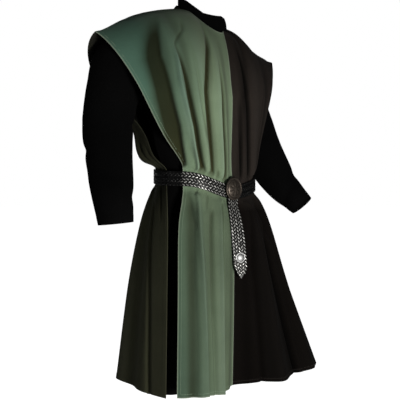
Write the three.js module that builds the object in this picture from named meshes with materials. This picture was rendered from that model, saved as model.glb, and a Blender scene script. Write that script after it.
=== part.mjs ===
// A medieval costume shirt as it hangs on a wearer: a parti-coloured, open-sided
// surcoat with wide stiff wings, belted over a black long-sleeved tunic.
// Millimetres, +Z up. The front faces -Y and the wearer's right is -X. The origin lies
// on the neck's axis, at the height of the collar's foot, where the wearer carries it.
import * as THREE from "three";

const RIGHT = -1;
const LEFT = 1;
const FRONT = -1;
const BACK = 1;

const SEAM_GAP = 0.3;
const SURCOAT_WALL = 2.0;
const TUNIC_WALL = 1.6;
const COLLAR_WALL = 2.4;

// The neckline, an oval round the neck, lower at the front than at the back.
// It also tilts down to the wearer's left, by "tilt" millimetres for each one across.
const NECK = { halfWidth: 70, front: 88, back: 62, frontZ: -69, sideZ: -23, backZ: 14, tilt: 0.2 };
const TUNIC_NECK_INSET = 4;

// How far the top of each shoulder has dropped, going out from the neck.
const SHOULDER_RIGHT = [
  { x: 70, z: -9 }, { x: 130, z: -17 }, { x: 210, z: -38 }, { x: 270, z: -63 }, { x: 366, z: -109 },
];
const SHOULDER_LEFT = [
  { x: 70, z: -37 }, { x: 110, z: -53 }, { x: 160, z: -77 }, { x: 205, z: -95 }, { x: 314, z: -112 },
];

// The share of a surcoat half that lies along the neckline, and how round it goes over
// the shoulder, from the middle (0) to the free edge (1).
const NECK_SHARE = 0.3;
const ROUNDNESS_RIGHT = [
  { at: 0, value: 0.45 }, { at: 0.35, value: 0.95 }, { at: 0.75, value: 0.9 }, { at: 1, value: 0.6 },
];
const ROUNDNESS_LEFT = [
  { at: 0, value: 0.45 }, { at: 0.35, value: 0.95 }, { at: 0.84, value: 0.9 }, { at: 1, value: 0.25 },
];

// Level sections of a half panel. "mid" is the centre seam, "edge" the free side edge,
// and "turn" the angle by which the cloth has turned from sideways at that edge.
const FRONT_RIGHT_SECTIONS = [
  { at: "chest", midY: -140, midZ: -250, edgeX: 279, edgeY: -65, edgeZ: -245, turn: 40 },
  { at: "ribs", midY: -138, midZ: -370, edgeX: 190, edgeY: -62, edgeZ: -370, turn: 50 },
  { at: "blouse", midY: -134, midZ: -458, edgeX: 148, edgeY: -74, edgeZ: -432, turn: 55 },
  { at: "belt top", midY: -126, midZ: -484, edgeX: 138, edgeY: -75, edgeZ: -452, turn: 48 },
  { at: "belt foot", midY: -126, midZ: -530, edgeX: 138, edgeY: -75, edgeZ: -494, turn: 48 },
  { at: "below belt", midY: -133, midZ: -558, edgeX: 150, edgeY: -84, edgeZ: -528, turn: 52 },
  { at: "hip", midY: -142, midZ: -625, edgeX: 170, edgeY: -92, edgeZ: -605, turn: 55 },
  { at: "thigh", midY: -148, midZ: -780, edgeX: 190, edgeY: -111, edgeZ: -765, turn: 54 },
  { at: "hem", midY: -147, midZ: -1028, edgeX: 215, edgeY: -134, edgeZ: -1020, turn: 52 },
];
const FRONT_LEFT_SECTIONS = [
  { at: "chest", midY: -140, midZ: -250, edgeX: 225, edgeY: -65, edgeZ: -245, turn: 45 },
  { at: "ribs", midY: -138, midZ: -370, edgeX: 183, edgeY: -62, edgeZ: -370, turn: 50 },
  { at: "blouse", midY: -134, midZ: -458, edgeX: 150, edgeY: -74, edgeZ: -440, turn: 55 },
  { at: "belt top", midY: -126, midZ: -484, edgeX: 138, edgeY: -75, edgeZ: -463, turn: 48 },
  { at: "belt foot", midY: -126, midZ: -530, edgeX: 138, edgeY: -75, edgeZ: -506, turn: 48 },
  { at: "below belt", midY: -133, midZ: -558, edgeX: 155, edgeY: -86, edgeZ: -536, turn: 50 },
  { at: "hip", midY: -142, midZ: -625, edgeX: 182, edgeY: -98, edgeZ: -605, turn: 48 },
  { at: "thigh", midY: -148, midZ: -780, edgeX: 232, edgeY: -120, edgeZ: -760, turn: 42 },
  { at: "hem", midY: -147, midZ: -1028, edgeX: 306, edgeY: -174, edgeZ: -1008, turn: 36 },
];
const BACK_RIGHT_SECTIONS = [
  { at: "chest", midY: 122, midZ: -200, edgeX: 246, edgeY: 146, edgeZ: -215, turn: 10 },
  { at: "ribs", midY: 128, midZ: -320, edgeX: 190, edgeY: 40, edgeZ: -330, turn: 84 },
  { at: "blouse", midY: 136, midZ: -408, edgeX: 184, edgeY: -12, edgeZ: -412, turn: 112 },
  { at: "belt top", midY: 102, midZ: -433, edgeX: 161, edgeY: -37, edgeZ: -450, turn: 77 },
  { at: "belt foot", midY: 102, midZ: -479, edgeX: 161, edgeY: -37, edgeZ: -492, turn: 77 },
  { at: "below belt", midY: 116, midZ: -510, edgeX: 172, edgeY: -50, edgeZ: -522, turn: 80 },
  { at: "hip", midY: 142, midZ: -600, edgeX: 188, edgeY: -70, edgeZ: -604, turn: 88 },
  { at: "thigh", midY: 170, midZ: -765, edgeX: 214, edgeY: -96, edgeZ: -765, turn: 92 },
  { at: "hem", midY: 200, midZ: -1010, edgeX: 241, edgeY: -121, edgeZ: -1018, turn: 95 },
];
const BACK_LEFT_SECTIONS = [
  { at: "chest", midY: 122, midZ: -200, edgeX: 236, edgeY: 148, edgeZ: -222, turn: 10 },
  { at: "ribs", midY: 128, midZ: -320, edgeX: 186, edgeY: 42, edgeZ: -330, turn: 60 },
  { at: "blouse", midY: 132, midZ: -408, edgeX: 176, edgeY: -10, edgeZ: -416, turn: 80 },
  { at: "belt top", midY: 102, midZ: -433, edgeX: 161, edgeY: -37, edgeZ: -459, turn: 77 },
  { at: "belt foot", midY: 102, midZ: -479, edgeX: 161, edgeY: -37, edgeZ: -501, turn: 77 },
  { at: "below belt", midY: 116, midZ: -510, edgeX: 176, edgeY: -52, edgeZ: -530, turn: 80 },
  { at: "hip", midY: 142, midZ: -600, edgeX: 203, edgeY: -72, edgeZ: -604, turn: 84 },
  { at: "thigh", midY: 170, midZ: -765, edgeX: 254, edgeY: -98, edgeZ: -762, turn: 82 },
  { at: "hem", midY: 200, midZ: -1010, edgeX: 322, edgeY: -146, edgeZ: -1010, turn: 84 },
];
const BELT_TOP_ROW = 4;
const BELT_FOOT_ROW = 5;
const HANDLE = 0.42;

// Folds. Places across the panel run from the centre seam (0) to the free edge (1);
// "deep" is in millimetres at its deepest, out for a ridge and in for a trough.
const GREEN_BODICE_FOLDS = [
  { top: 0, chest: 0, belt: 0, wide: 0.1, deep: -24 },
  { top: 0.2, chest: 0.24, belt: 0.28, wide: 0.05, deep: 7 },
  { top: 0.24, chest: 0.36, belt: 0.46, wide: 0.05, deep: -9 },
  { top: 0.42, chest: 0.45, belt: 0.54, wide: 0.06, deep: 9 },
  { top: 0.57, chest: 0.55, belt: 0.71, wide: 0.05, deep: -11 },
  { top: 0.6, chest: 0.63, belt: 0.75, wide: 0.05, deep: 8 },
  { top: 0.6, chest: 0.77, belt: 0.98, wide: 0.08, deep: -13 },
];
const GREEN_SKIRT_FOLDS = [
  { belt: 0, hem: 0, wide: 0.12, deep: -24 },
  { belt: 0.3, hem: 0.44, wide: 0.1, deep: 22 },
  { belt: 0.5, hem: 0.6, wide: 0.06, deep: -9 },
  { belt: 0.7, hem: 0.7, wide: 0.07, deep: 11 },
  { belt: 0.9, hem: 0.83, wide: 0.06, deep: -15 },
];
const CHARCOAL_BODICE_FOLDS = [
  { top: 0, chest: 0, belt: 0, wide: 0.1, deep: -24 },
  { top: 0.3, chest: 0.16, belt: 0.5, wide: 0.06, deep: -10 },
  { top: 0.4, chest: 0.32, belt: 0.62, wide: 0.08, deep: 9 },
  { top: 0.55, chest: 0.62, belt: 0.8, wide: 0.07, deep: -9 },
];
const CHARCOAL_SKIRT_FOLDS = [
  { belt: 0, hem: 0, wide: 0.12, deep: -24 },
  { belt: 0.24, hem: 0.4, wide: 0.1, deep: 44 },
  { belt: 0.55, hem: 0.62, wide: 0.08, deep: -12 },
  { belt: 0.75, hem: 0.78, wide: 0.07, deep: 12 },
];
const BACK_BODICE_FOLDS = [
  { top: 0.3, chest: 0.2, belt: 0.25, wide: 0.07, deep: -6 },
  { top: 0.4, chest: 0.42, belt: 0.45, wide: 0.08, deep: 9 },
  { top: 0.6, chest: 0.64, belt: 0.7, wide: 0.06, deep: -9 },
  { top: 0.8, chest: 0.82, belt: 0.86, wide: 0.05, deep: 6 },
];
const BACK_SKIRT_FOLDS = [
  { belt: 0.14, hem: 0.16, wide: 0.08, deep: 20 },
  { belt: 0.3, hem: 0.33, wide: 0.08, deep: -18 },
  { belt: 0.45, hem: 0.5, wide: 0.09, deep: 24 },
  { belt: 0.62, hem: 0.66, wide: 0.06, deep: -16 },
  { belt: 0.78, hem: 0.8, wide: 0.07, deep: 14 },
];

// How far any fold may stand off the smooth panel at each level, and how far it has
// grown, by row: 0 is the shoulder seam, 1 the chest, 4 to 5 the belt and 9 the hem.
const FOLD_LIMIT = [
  { at: 0, value: 0.5 }, { at: 0.8, value: 18 }, { at: 2.4, value: 22 }, { at: 3.4, value: 9 },
  { at: 4, value: 2 }, { at: 5, value: 2 }, { at: 6, value: 12 }, { at: 7, value: 40 },
  { at: 9, value: 80 },
];
const SKIRT_GROWTH = [
  { at: 4.5, value: 0.08 }, { at: 6, value: 0.3 }, { at: 7, value: 0.55 }, { at: 8, value: 0.8 },
  { at: 9, value: 1 },
];
const SEAM_CALM = 0.07;

// Grid steps across a half panel and, going down it, between one row and the next.
const PANEL_COLUMNS = 23;
const SHOULDER_STEPS = [0, 0.14, 0.3, 0.5, 0.74];
const ROW_STEPS = [2, 2, 1, 1, 1, 1, 2, 3];

// The tunic under it: the same kind of sections, with side seams from the armhole down.
const TUNIC_SHOULDER_X = 186;
const TUNIC_UNDER_SURCOAT = 8;
const TUNIC_FRONT_SECTIONS = [
  { at: "underarm", midY: -104, midZ: -250, edgeX: 186, edgeY: 0, edgeZ: -240, turn: 70 },
  { at: "ribs", midY: -106, midZ: -370, edgeX: 170, edgeY: 0, edgeZ: -370, turn: 80 },
  { at: "belt top", midY: -112, midZ: -464, edgeX: 150, edgeY: -10, edgeZ: -448, turn: 76 },
  { at: "belt foot", midY: -112, midZ: -530, edgeX: 150, edgeY: -10, edgeZ: -500, turn: 76 },
  { at: "hip", midY: -110, midZ: -625, edgeX: 166, edgeY: -10, edgeZ: -605, turn: 78 },
  { at: "thigh", midY: -104, midZ: -780, edgeX: 184, edgeY: -10, edgeZ: -765, turn: 80 },
  { at: "hem", midY: -98, midZ: -1026, edgeX: 204, edgeY: -10, edgeZ: -1034, turn: 80 },
];
const TUNIC_BACK_SECTIONS = [
  { at: "underarm", midY: 108, midZ: -240, edgeX: 186, edgeY: 0, edgeZ: -240, turn: 70 },
  { at: "ribs", midY: 104, midZ: -350, edgeX: 170, edgeY: 0, edgeZ: -370, turn: 70 },
  { at: "belt top", midY: 86, midZ: -428, edgeX: 150, edgeY: -10, edgeZ: -448, turn: 62 },
  { at: "belt foot", midY: 86, midZ: -488, edgeX: 150, edgeY: -10, edgeZ: -500, turn: 62 },
  { at: "hip", midY: 104, midZ: -600, edgeX: 166, edgeY: -10, edgeZ: -605, turn: 66 },
  { at: "thigh", midY: 124, midZ: -765, edgeX: 184, edgeY: -10, edgeZ: -765, turn: 70 },
  { at: "hem", midY: 146, midZ: -1022, edgeX: 204, edgeY: -10, edgeZ: -1034, turn: 72 },
];
const ARMHOLE_HALF_DEPTH = 72;
const ARMHOLE_PULL = 3;
const TUNIC_HALF_COLUMNS = 11;
const TUNIC_NECK_COLUMNS = 6;
const TUNIC_TOP_STEPS = [0, 0.14, 0.3, 0.5, 0.66, 0.8, 0.9, 0.97];
const TUNIC_ROW_STEPS = [2, 1, 1, 1, 1, 2];

// Sleeves: a row for each ring, from the armhole to the open cuff. "out" is the ring's
// point on the outside of the arm, "in" the one nearest the body, "y" its middle.
const SLEEVE_RIGHT_RINGS = [
  { at: "cap", outX: 285, outZ: -84, inX: 194, inZ: -245, y: 14, flat: 0.88 },
  { at: "biceps", outX: 328, outZ: -142, inX: 197, inZ: -252, y: 34, flat: 0.88 },
  { at: "upper arm", outX: 345, outZ: -215, inX: 199, inZ: -268, y: 43, flat: 0.86 },
  { at: "above elbow", outX: 346, outZ: -285, inX: 206, inZ: -304, y: 57, flat: 0.92 },
  { at: "elbow", outX: 344, outZ: -345, inX: 212, inZ: -354, y: 62, flat: 1 },
  { at: "forearm", outX: 352, outZ: -405, inX: 230, inZ: -412, y: 42, flat: 1 },
  { at: "lower arm", outX: 362, outZ: -485, inX: 250, inZ: -488, y: 12, flat: 1 },
  { at: "cuff", outX: 368, outZ: -586, inX: 280, inZ: -584, y: -28, flat: 1 },
];
const SLEEVE_LEFT_RINGS = [
  { at: "cap", outX: 262, outZ: -130, inX: 194, inZ: -256, y: 22, flat: 0.84 },
  { at: "biceps", outX: 302, outZ: -178, inX: 197, inZ: -262, y: 48, flat: 0.86 },
  { at: "upper arm", outX: 322, outZ: -228, inX: 199, inZ: -276, y: 54, flat: 0.86 },
  { at: "elbow", outX: 338, outZ: -300, inX: 208, inZ: -326, y: 42, flat: 0.94 },
  { at: "forearm", outX: 342, outZ: -362, inX: 220, inZ: -396, y: 18, flat: 1 },
  { at: "lower arm", outX: 350, outZ: -414, inX: 240, inZ: -456, y: -9, flat: 1 },
  { at: "wrist", outX: 360, outZ: -478, inX: 268, inZ: -512, y: -46, flat: 1 },
  { at: "cuff", outX: 376, outZ: -540, inX: 308, inZ: -562, y: -94, flat: 1 },
];
// How square each sleeve's rings stand to the arm: 1 is square, 0 is level fore and aft.
const SLEEVE_SQUARE = { right: 0.3, left: 1 };
const SLEEVE_CLEAR = 2;
const SLEEVE_SIDES = 18;
const SLEEVE_STEPS = 13;
const SLEEVE_FOLDS = [
  { along: 0.2, around: 1.0, wide: 0.035, deep: -5 },
  { along: 0.46, around: 3.6, wide: 0.03, deep: -6 },
  { along: 0.53, around: 4.2, wide: 0.03, deep: 5 },
  { along: 0.6, around: 3.2, wide: 0.03, deep: -6 },
  { along: 0.85, around: 0.6, wide: 0.03, deep: -4 },
];

const COLLAR = { gap: 0.6, lean: 2, columns: 24 };
// The collar's height round the neck, the angle in degrees from the middle of the front
// towards the wearer's right. Its front end laps over and stands a little higher.
const COLLAR_HEIGHTS = [
  { at: 0, value: 41 }, { at: 22, value: 35 }, { at: 45, value: 29 }, { at: 90, value: 29 },
  { at: 180, value: 23 }, { at: 270, value: 20 }, { at: 325, value: 25 }, { at: 345, value: 41 },
  { at: 360, value: 41 },
];

// The belt's centre line drops towards the buckle.
const BELT = { height: 40, wall: 4, gap: 0.4, columns: 56, flatShare: 0.6 };
// How thick the leather is along its edges, as a share of its wall.
const EDGE_SHARE = 0.6;
const BUCKLE = { radius: 31, thick: 9, sides: 28, x: -10, rise: 8 };
// The tail leaves from under the buckle, swings forward over the skirt and turns a
// little towards the wearer's right as it drops.
const TAIL = {
  width: 38, wall: 3.5, length: 231, pointLength: 34, rows: 12, columns: [-1, -0.5, 0.5, 1],
  flatTo: 40, startX: -10, endX: 4, standOff: 20, fall: 62, twist: 30, tipShare: 0.14,
};
const CONCHO = { radius: 14, thick: 5, drop: 175, sides: 20 };
// The outline of a round domed plate with a raised rim, as shares of its radius and
// thickness, from the middle of its flat back to the top of the dome.
const PLATE_PROFILE = [
  { out: 0, up: 0 }, { out: 0.94, up: 0 }, { out: 1, up: 0.2 }, { out: 0.97, up: 0.45 },
  { out: 0.86, up: 0.5 }, { out: 0.78, up: 0.42 }, { out: 0.6, up: 0.72 }, { out: 0.3, up: 0.94 },
  { out: 0, up: 1 },
];

// Straight-line reading of a table with columns "at" and "value".
function readTable(table, at) {
  if (at <= table[0].at) return table[0].value;
  for (let i = 1; i < table.length; i++) {
    const low = table[i - 1];
    const high = table[i];
    if (at <= high.at) return low.value + ((high.value - low.value) * (at - low.at)) / (high.at - low.at);
  }
  return table[table.length - 1].value;
}

function mix(a, b, share) {
  return a + (b - a) * share;
}

// Cubic through four values, passing b and c.
function catmull(a, b, c, d, t) {
  const t2 = t * t;
  const t3 = t2 * t;
  return 0.5 * (2 * b + (c - a) * t + (2 * a - 5 * b + 4 * c - d) * t2 + (3 * b - a - 3 * c + d) * t3);
}

function catmullPoint(a, b, c, d, t) {
  return new THREE.Vector3(
    catmull(a.x, b.x, c.x, d.x, t),
    catmull(a.y, b.y, c.y, d.y, t),
    catmull(a.z, b.z, c.z, d.z, t),
  );
}

// The height of the shoulder at a distance x from the neck's axis.
function shoulderZ(side, x) {
  const rows = side === RIGHT ? SHOULDER_RIGHT : SHOULDER_LEFT;
  let i = 0;
  while (i < rows.length - 2 && x > rows[i + 1].x) i++;
  const low = rows[i];
  const high = rows[i + 1];
  const before = rows[Math.max(i - 1, 0)];
  const after = rows[Math.min(i + 2, rows.length - 1)];
  return catmull(before.z, low.z, high.z, after.z, (x - low.x) / (high.x - low.x));
}

// A point of the neckline, the angle measured from the middle of that face.
function neckPoint(side, face, angle, inset) {
  const depth = face === FRONT ? NECK.front : NECK.back;
  const midZ = face === FRONT ? NECK.frontZ : NECK.backZ;
  return new THREE.Vector3(
    side * (NECK.halfWidth - inset) * Math.sin(angle),
    face * (depth - inset) * Math.cos(angle),
    mix(NECK.sideZ, midZ, Math.cos(angle)) - NECK.tilt * side * (NECK.halfWidth - inset) * Math.sin(angle),
  );
}

// One level section: a curve from the centre seam that leaves it sideways and reaches
// the free edge turned by "turn". Its points are equally spaced along it.
function sectionPoints(side, face, row, columns) {
  const turn = THREE.MathUtils.degToRad(row.turn);
  const mid = new THREE.Vector3(0, row.midY, row.midZ);
  const edge = new THREE.Vector3(side * row.edgeX, row.edgeY, row.edgeZ);
  const reach = HANDLE * Math.hypot(edge.x - mid.x, edge.y - mid.y);
  const midHandle = new THREE.Vector3(side * reach, mid.y, mid.z);
  const edgeHandle = new THREE.Vector3(
    edge.x - side * Math.cos(turn) * reach,
    edge.y + face * Math.sin(turn) * reach,
    edge.z,
  );
  return new THREE.CubicBezierCurve3(mid, midHandle, edgeHandle, edge).getSpacedPoints(columns - 1);
}

// Normals of a grid by central differences, pointing away from the wearer.
function gridNormals(grid, wrap) {
  const rows = grid.length;
  const columns = grid[0].length;
  return grid.map((row, i) => row.map((_, j) => {
    const up = grid[Math.max(i - 1, 0)][j];
    const down = grid[Math.min(i + 1, rows - 1)][j];
    const before = wrap ? (j - 1 + columns) % columns : Math.max(j - 1, 0);
    const after = wrap ? (j + 1) % columns : Math.min(j + 1, columns - 1);
    const across = new THREE.Vector3().subVectors(row[after], row[before]);
    const along = new THREE.Vector3().subVectors(down, up);
    return new THREE.Vector3().crossVectors(across, along).normalize();
  }));
}

// Moves every point of a grid along its normal by a distance, given by a function.
function moveOut(grid, normals, distance) {
  return grid.map((row, i) => row.map((point, j) => {
    return point.clone().addScaledVector(normals[i][j], distance(i, j));
  }));
}

// A closed cloth wall between an outer and an inner grid. With "wrap" each row is a ring.
function wallGeometry(outer, inner, wrap) {
  const rows = outer.length;
  const columns = outer[0].length;
  const positions = [];
  for (const grid of [outer, inner]) {
    for (const row of grid) {
      for (const point of row) positions.push(point.x, point.y, point.z);
    }
  }
  const innerStart = rows * columns;
  const index = [];
  const quad = (a, b, c, d) => index.push(a, b, c, a, c, d);
  const spans = wrap ? columns : columns - 1;
  for (let i = 0; i < rows - 1; i++) {
    for (let j = 0; j < spans; j++) {
      const next = (j + 1) % columns;
      const a = i * columns + j;
      const b = i * columns + next;
      const c = (i + 1) * columns + next;
      const d = (i + 1) * columns + j;
      quad(a, b, c, d);
      quad(innerStart + a, innerStart + d, innerStart + c, innerStart + b);
    }
  }
  const last = (rows - 1) * columns;
  for (let j = 0; j < spans; j++) {
    const next = (j + 1) % columns;
    quad(next, j, innerStart + j, innerStart + next);
    quad(last + j, last + next, innerStart + last + next, innerStart + last + j);
  }
  if (!wrap) {
    for (let i = 0; i < rows - 1; i++) {
      const a = i * columns;
      const b = (i + 1) * columns;
      quad(a, b, innerStart + b, innerStart + a);
      const c = a + columns - 1;
      const d = b + columns - 1;
      quad(d, c, innerStart + c, innerStart + d);
    }
  }
  if (signedVolume(positions, index) < 0) {
    for (let k = 0; k < index.length; k += 3) {
      [index[k + 1], index[k + 2]] = [index[k + 2], index[k + 1]];
    }
  }
  const geometry = new THREE.BufferGeometry();
  geometry.setAttribute("position", new THREE.Float32BufferAttribute(positions, 3));
  geometry.setIndex(index);
  geometry.computeVertexNormals();
  return geometry;
}

function signedVolume(positions, index) {
  const corner = (k) => new THREE.Vector3().fromArray(positions, index[k] * 3);
  let volume = 0;
  for (let k = 0; k < index.length; k += 3) {
    volume += corner(k).dot(corner(k + 1).cross(corner(k + 2)));
  }
  return volume / 6;
}

function addMesh(parent, name, geometry, finish) {
  const mesh = new THREE.Mesh(geometry, new THREE.MeshStandardMaterial(finish));
  mesh.name = name;
  parent.add(mesh);
  return mesh;
}

// The top edge of a half panel: the neckline, then the shoulder seam out to the wing tip.
function surcoatTop(side, face, columns) {
  const neckSteps = Math.round(NECK_SHARE * (columns - 1));
  const rows = side === RIGHT ? SHOULDER_RIGHT : SHOULDER_LEFT;
  const tipX = rows[rows.length - 1].x;
  const points = [];
  for (let j = 0; j < columns; j++) {
    if (j <= neckSteps) {
      points.push(neckPoint(side, face, (j / neckSteps) * (Math.PI / 2), 0));
    } else {
      const x = mix(NECK.halfWidth, tipX, (j - neckSteps) / (columns - 1 - neckSteps));
      points.push(new THREE.Vector3(side * x, 0, shoulderZ(side, x)));
    }
  }
  return points;
}

// A point on the way from the shoulder seam down to the chest section: it leaves the
// seam level and reaches the chest upright, rounder where the shoulder carries it.
function overShoulder(side, top, chest, share, across) {
  const roundness = readTable(side === RIGHT ? ROUNDNESS_RIGHT : ROUNDNESS_LEFT, across);
  const out = mix(share, Math.sin((share * Math.PI) / 2), roundness);
  const down = mix(share, 1 - Math.cos((share * Math.PI) / 2), roundness);
  return new THREE.Vector3(
    mix(top.x, chest.x, down),
    mix(top.y, chest.y, out),
    mix(top.z, chest.z, down),
  );
}

// The smooth half panel and the level of each of its grid rows.
function surcoatBase(side, face, sections, columns) {
  const top = surcoatTop(side, face, columns);
  const keys = sections.map((row) => sectionPoints(side, face, row, columns));
  const grid = [];
  const levels = [];
  for (const share of SHOULDER_STEPS) {
    grid.push(top.map((point, j) => overShoulder(side, point, keys[0][j], share, j / (columns - 1))));
    levels.push(share);
  }
  const before = grid[grid.length - 1];
  for (let k = 0; k < keys.length - 1; k++) {
    for (let step = 0; step < ROW_STEPS[k]; step++) {
      const t = step / ROW_STEPS[k];
      grid.push(keys[k].map((point, j) => catmullPoint(
        k === 0 ? before[j] : keys[k - 1][j],
        point,
        keys[k + 1][j],
        keys[Math.min(k + 2, keys.length - 1)][j],
        t,
      )));
      levels.push(1 + k + t);
    }
  }
  grid.push(keys[keys.length - 1]);
  levels.push(keys.length);
  return { grid, levels };
}

// The place of a fold across the panel at a level.
function foldPlace(fold, level) {
  if (level <= 1) return mix(fold.top, fold.chest, level);
  if (level <= 4.5) return mix(fold.chest, fold.belt, (level - 1) / 3.5);
  return mix(fold.belt, fold.hem, (level - 4.5) / 4.5);
}

// The height of all folds together at a place and level, pressed flat under the belt
// and at the shoulder seam.
function foldHeight(bodice, skirt, across, level) {
  const folds = level <= 4.5 ? bodice : skirt;
  const grown = level <= 4.5 ? Math.min(1, level / 0.8) : readTable(SKIRT_GROWTH, level);
  const pressed = level <= 4.5 ? mix(1, 0.1, THREE.MathUtils.smoothstep(level, 2.6, 4.3)) : 1;
  const calm = THREE.MathUtils.smoothstep(across, 0, SEAM_CALM);
  let height = 0;
  for (const fold of folds) {
    const place = foldPlace({ top: fold.belt, chest: fold.belt, hem: fold.belt, ...fold }, level);
    const bell = Math.exp(-(((across - place) / fold.wide) ** 2));
    height += fold.deep * bell * (fold.belt === 0 ? 1 : calm);
  }
  const limit = readTable(FOLD_LIMIT, level);
  return limit * Math.tanh((height * grown * pressed) / limit);
}

function surcoatPanel(side, face, sections, bodice, skirt) {
  const { grid, levels } = surcoatBase(side, face, sections, PANEL_COLUMNS);
  const flip = side * face > 0 ? 1 : -1;
  const baseNormals = facingOut(gridNormals(grid, false), flip);
  squareSeams(baseNormals);
  const outer = moveOut(grid, baseNormals, (i, j) => {
    return foldHeight(bodice, skirt, j / (PANEL_COLUMNS - 1), levels[i]);
  });
  const normals = facingOut(gridNormals(outer, false), flip);
  squareSeams(normals);
  const inner = moveOut(outer, normals, () => -SURCOAT_WALL);
  for (const wall of [outer, inner]) partSeams(wall, side, face);
  return { outer, inner };
}

function facingOut(normals, flip) {
  return normals.map((row) => row.map((normal) => normal.multiplyScalar(flip)));
}

// Keeps the wall square to the centre seam and to the shoulder seam.
function squareSeams(normals) {
  for (const row of normals) row[0].setX(0).normalize();
  const neckSteps = Math.round(NECK_SHARE * (PANEL_COLUMNS - 1));
  normals[0].forEach((normal, j) => {
    if (j >= neckSteps) normal.setY(0).normalize();
  });
}

// Draws the cloth back from both seams by half the seam gap.
function partSeams(grid, side, face) {
  for (const row of grid) row[0].x += (side * SEAM_GAP) / 2;
  const neckSteps = Math.round(NECK_SHARE * (PANEL_COLUMNS - 1));
  grid[0].forEach((point, j) => {
    if (j >= neckSteps) point.y += (face * SEAM_GAP) / 2;
  });
}

// The tunic's neckline, which the collar follows too.
function tunicNeck(side, face, angle) {
  const point = neckPoint(side, face, angle, TUNIC_NECK_INSET);
  point.z -= TUNIC_UNDER_SURCOAT * Math.sin(angle);
  return point;
}

// The height of the tunic's shoulder point, at the top of the armhole.
function armholeTop(side) {
  return shoulderZ(side, TUNIC_SHOULDER_X) - TUNIC_UNDER_SURCOAT;
}

// A half of the tunic's front or back, from the middle to the armhole and side seam.
// The armhole is half an oval, and the cloth next to it follows it more and more.
function tunicHalf(side, face, sections) {
  const columns = TUNIC_HALF_COLUMNS + 1;
  const top = [];
  for (let j = 0; j < columns; j++) {
    if (j <= TUNIC_NECK_COLUMNS) {
      top.push(tunicNeck(side, face, (j / TUNIC_NECK_COLUMNS) * (Math.PI / 2)));
    } else {
      const share = (j - TUNIC_NECK_COLUMNS) / (TUNIC_HALF_COLUMNS - TUNIC_NECK_COLUMNS);
      const x = mix(NECK.halfWidth, TUNIC_SHOULDER_X, share);
      top.push(new THREE.Vector3(side * x, 0, shoulderZ(side, x) - TUNIC_UNDER_SURCOAT));
    }
  }
  const keys = sections.map((row) => sectionPoints(side, face, row, columns));
  const grid = [];
  for (const share of TUNIC_TOP_STEPS) {
    grid.push(top.map((point, j) => {
      const across = j / TUNIC_HALF_COLUMNS;
      const placed = overShoulder(side, point, keys[0][j], share, across);
      const down = (point.z - placed.z) / (point.z - keys[0][j].z);
      placed.y += face * ARMHOLE_HALF_DEPTH * Math.sqrt(1 - (2 * down - 1) ** 2) * across ** ARMHOLE_PULL;
      return placed;
    }));
  }
  for (let k = 0; k < keys.length - 1; k++) {
    for (let step = 0; step < TUNIC_ROW_STEPS[k]; step++) {
      grid.push(keys[k].map((point, j) => catmullPoint(
        keys[Math.max(k - 1, 0)][j],
        point,
        keys[k + 1][j],
        keys[Math.min(k + 2, keys.length - 1)][j],
        step / TUNIC_ROW_STEPS[k],
      )));
    }
  }
  grid.push(keys[keys.length - 1]);
  return grid;
}

// Keeps a tunic wall square to its shoulder, armhole and side seams.
function squareTunicSeams(normals) {
  const middle = TUNIC_HALF_COLUMNS;
  normals[0].forEach((normal, j) => {
    if (Math.abs(j - middle) >= TUNIC_NECK_COLUMNS) normal.setY(0).normalize();
  });
  normals.forEach((row, i) => {
    for (const normal of [row[0], row[row.length - 1]]) {
      if (i === 0) normal.set(0, 0, 1);
      else if (i < TUNIC_TOP_STEPS.length) normal.setX(0).normalize();
      else normal.setY(0).normalize();
    }
  });
}

function tunicPanel(face, sections) {
  const right = tunicHalf(RIGHT, face, sections);
  const left = tunicHalf(LEFT, face, sections);
  const outer = right.map((row, i) => [...row.slice(1).reverse(), ...left[i]]);
  const normals = facingOut(gridNormals(outer, false), face);
  squareTunicSeams(normals);
  const inner = moveOut(outer, normals, () => -TUNIC_WALL);
  for (const wall of [outer, inner]) {
    wall.forEach((row, i) => row.forEach((point, j) => {
      const onShoulder = i === 0 && Math.abs(j - TUNIC_HALF_COLUMNS) >= TUNIC_NECK_COLUMNS;
      const onSide = i > 0 && (j === 0 || j === row.length - 1);
      if (onShoulder || onSide) point.y += (face * SEAM_GAP) / 2;
    }));
  }
  return { outer, inner };
}

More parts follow.
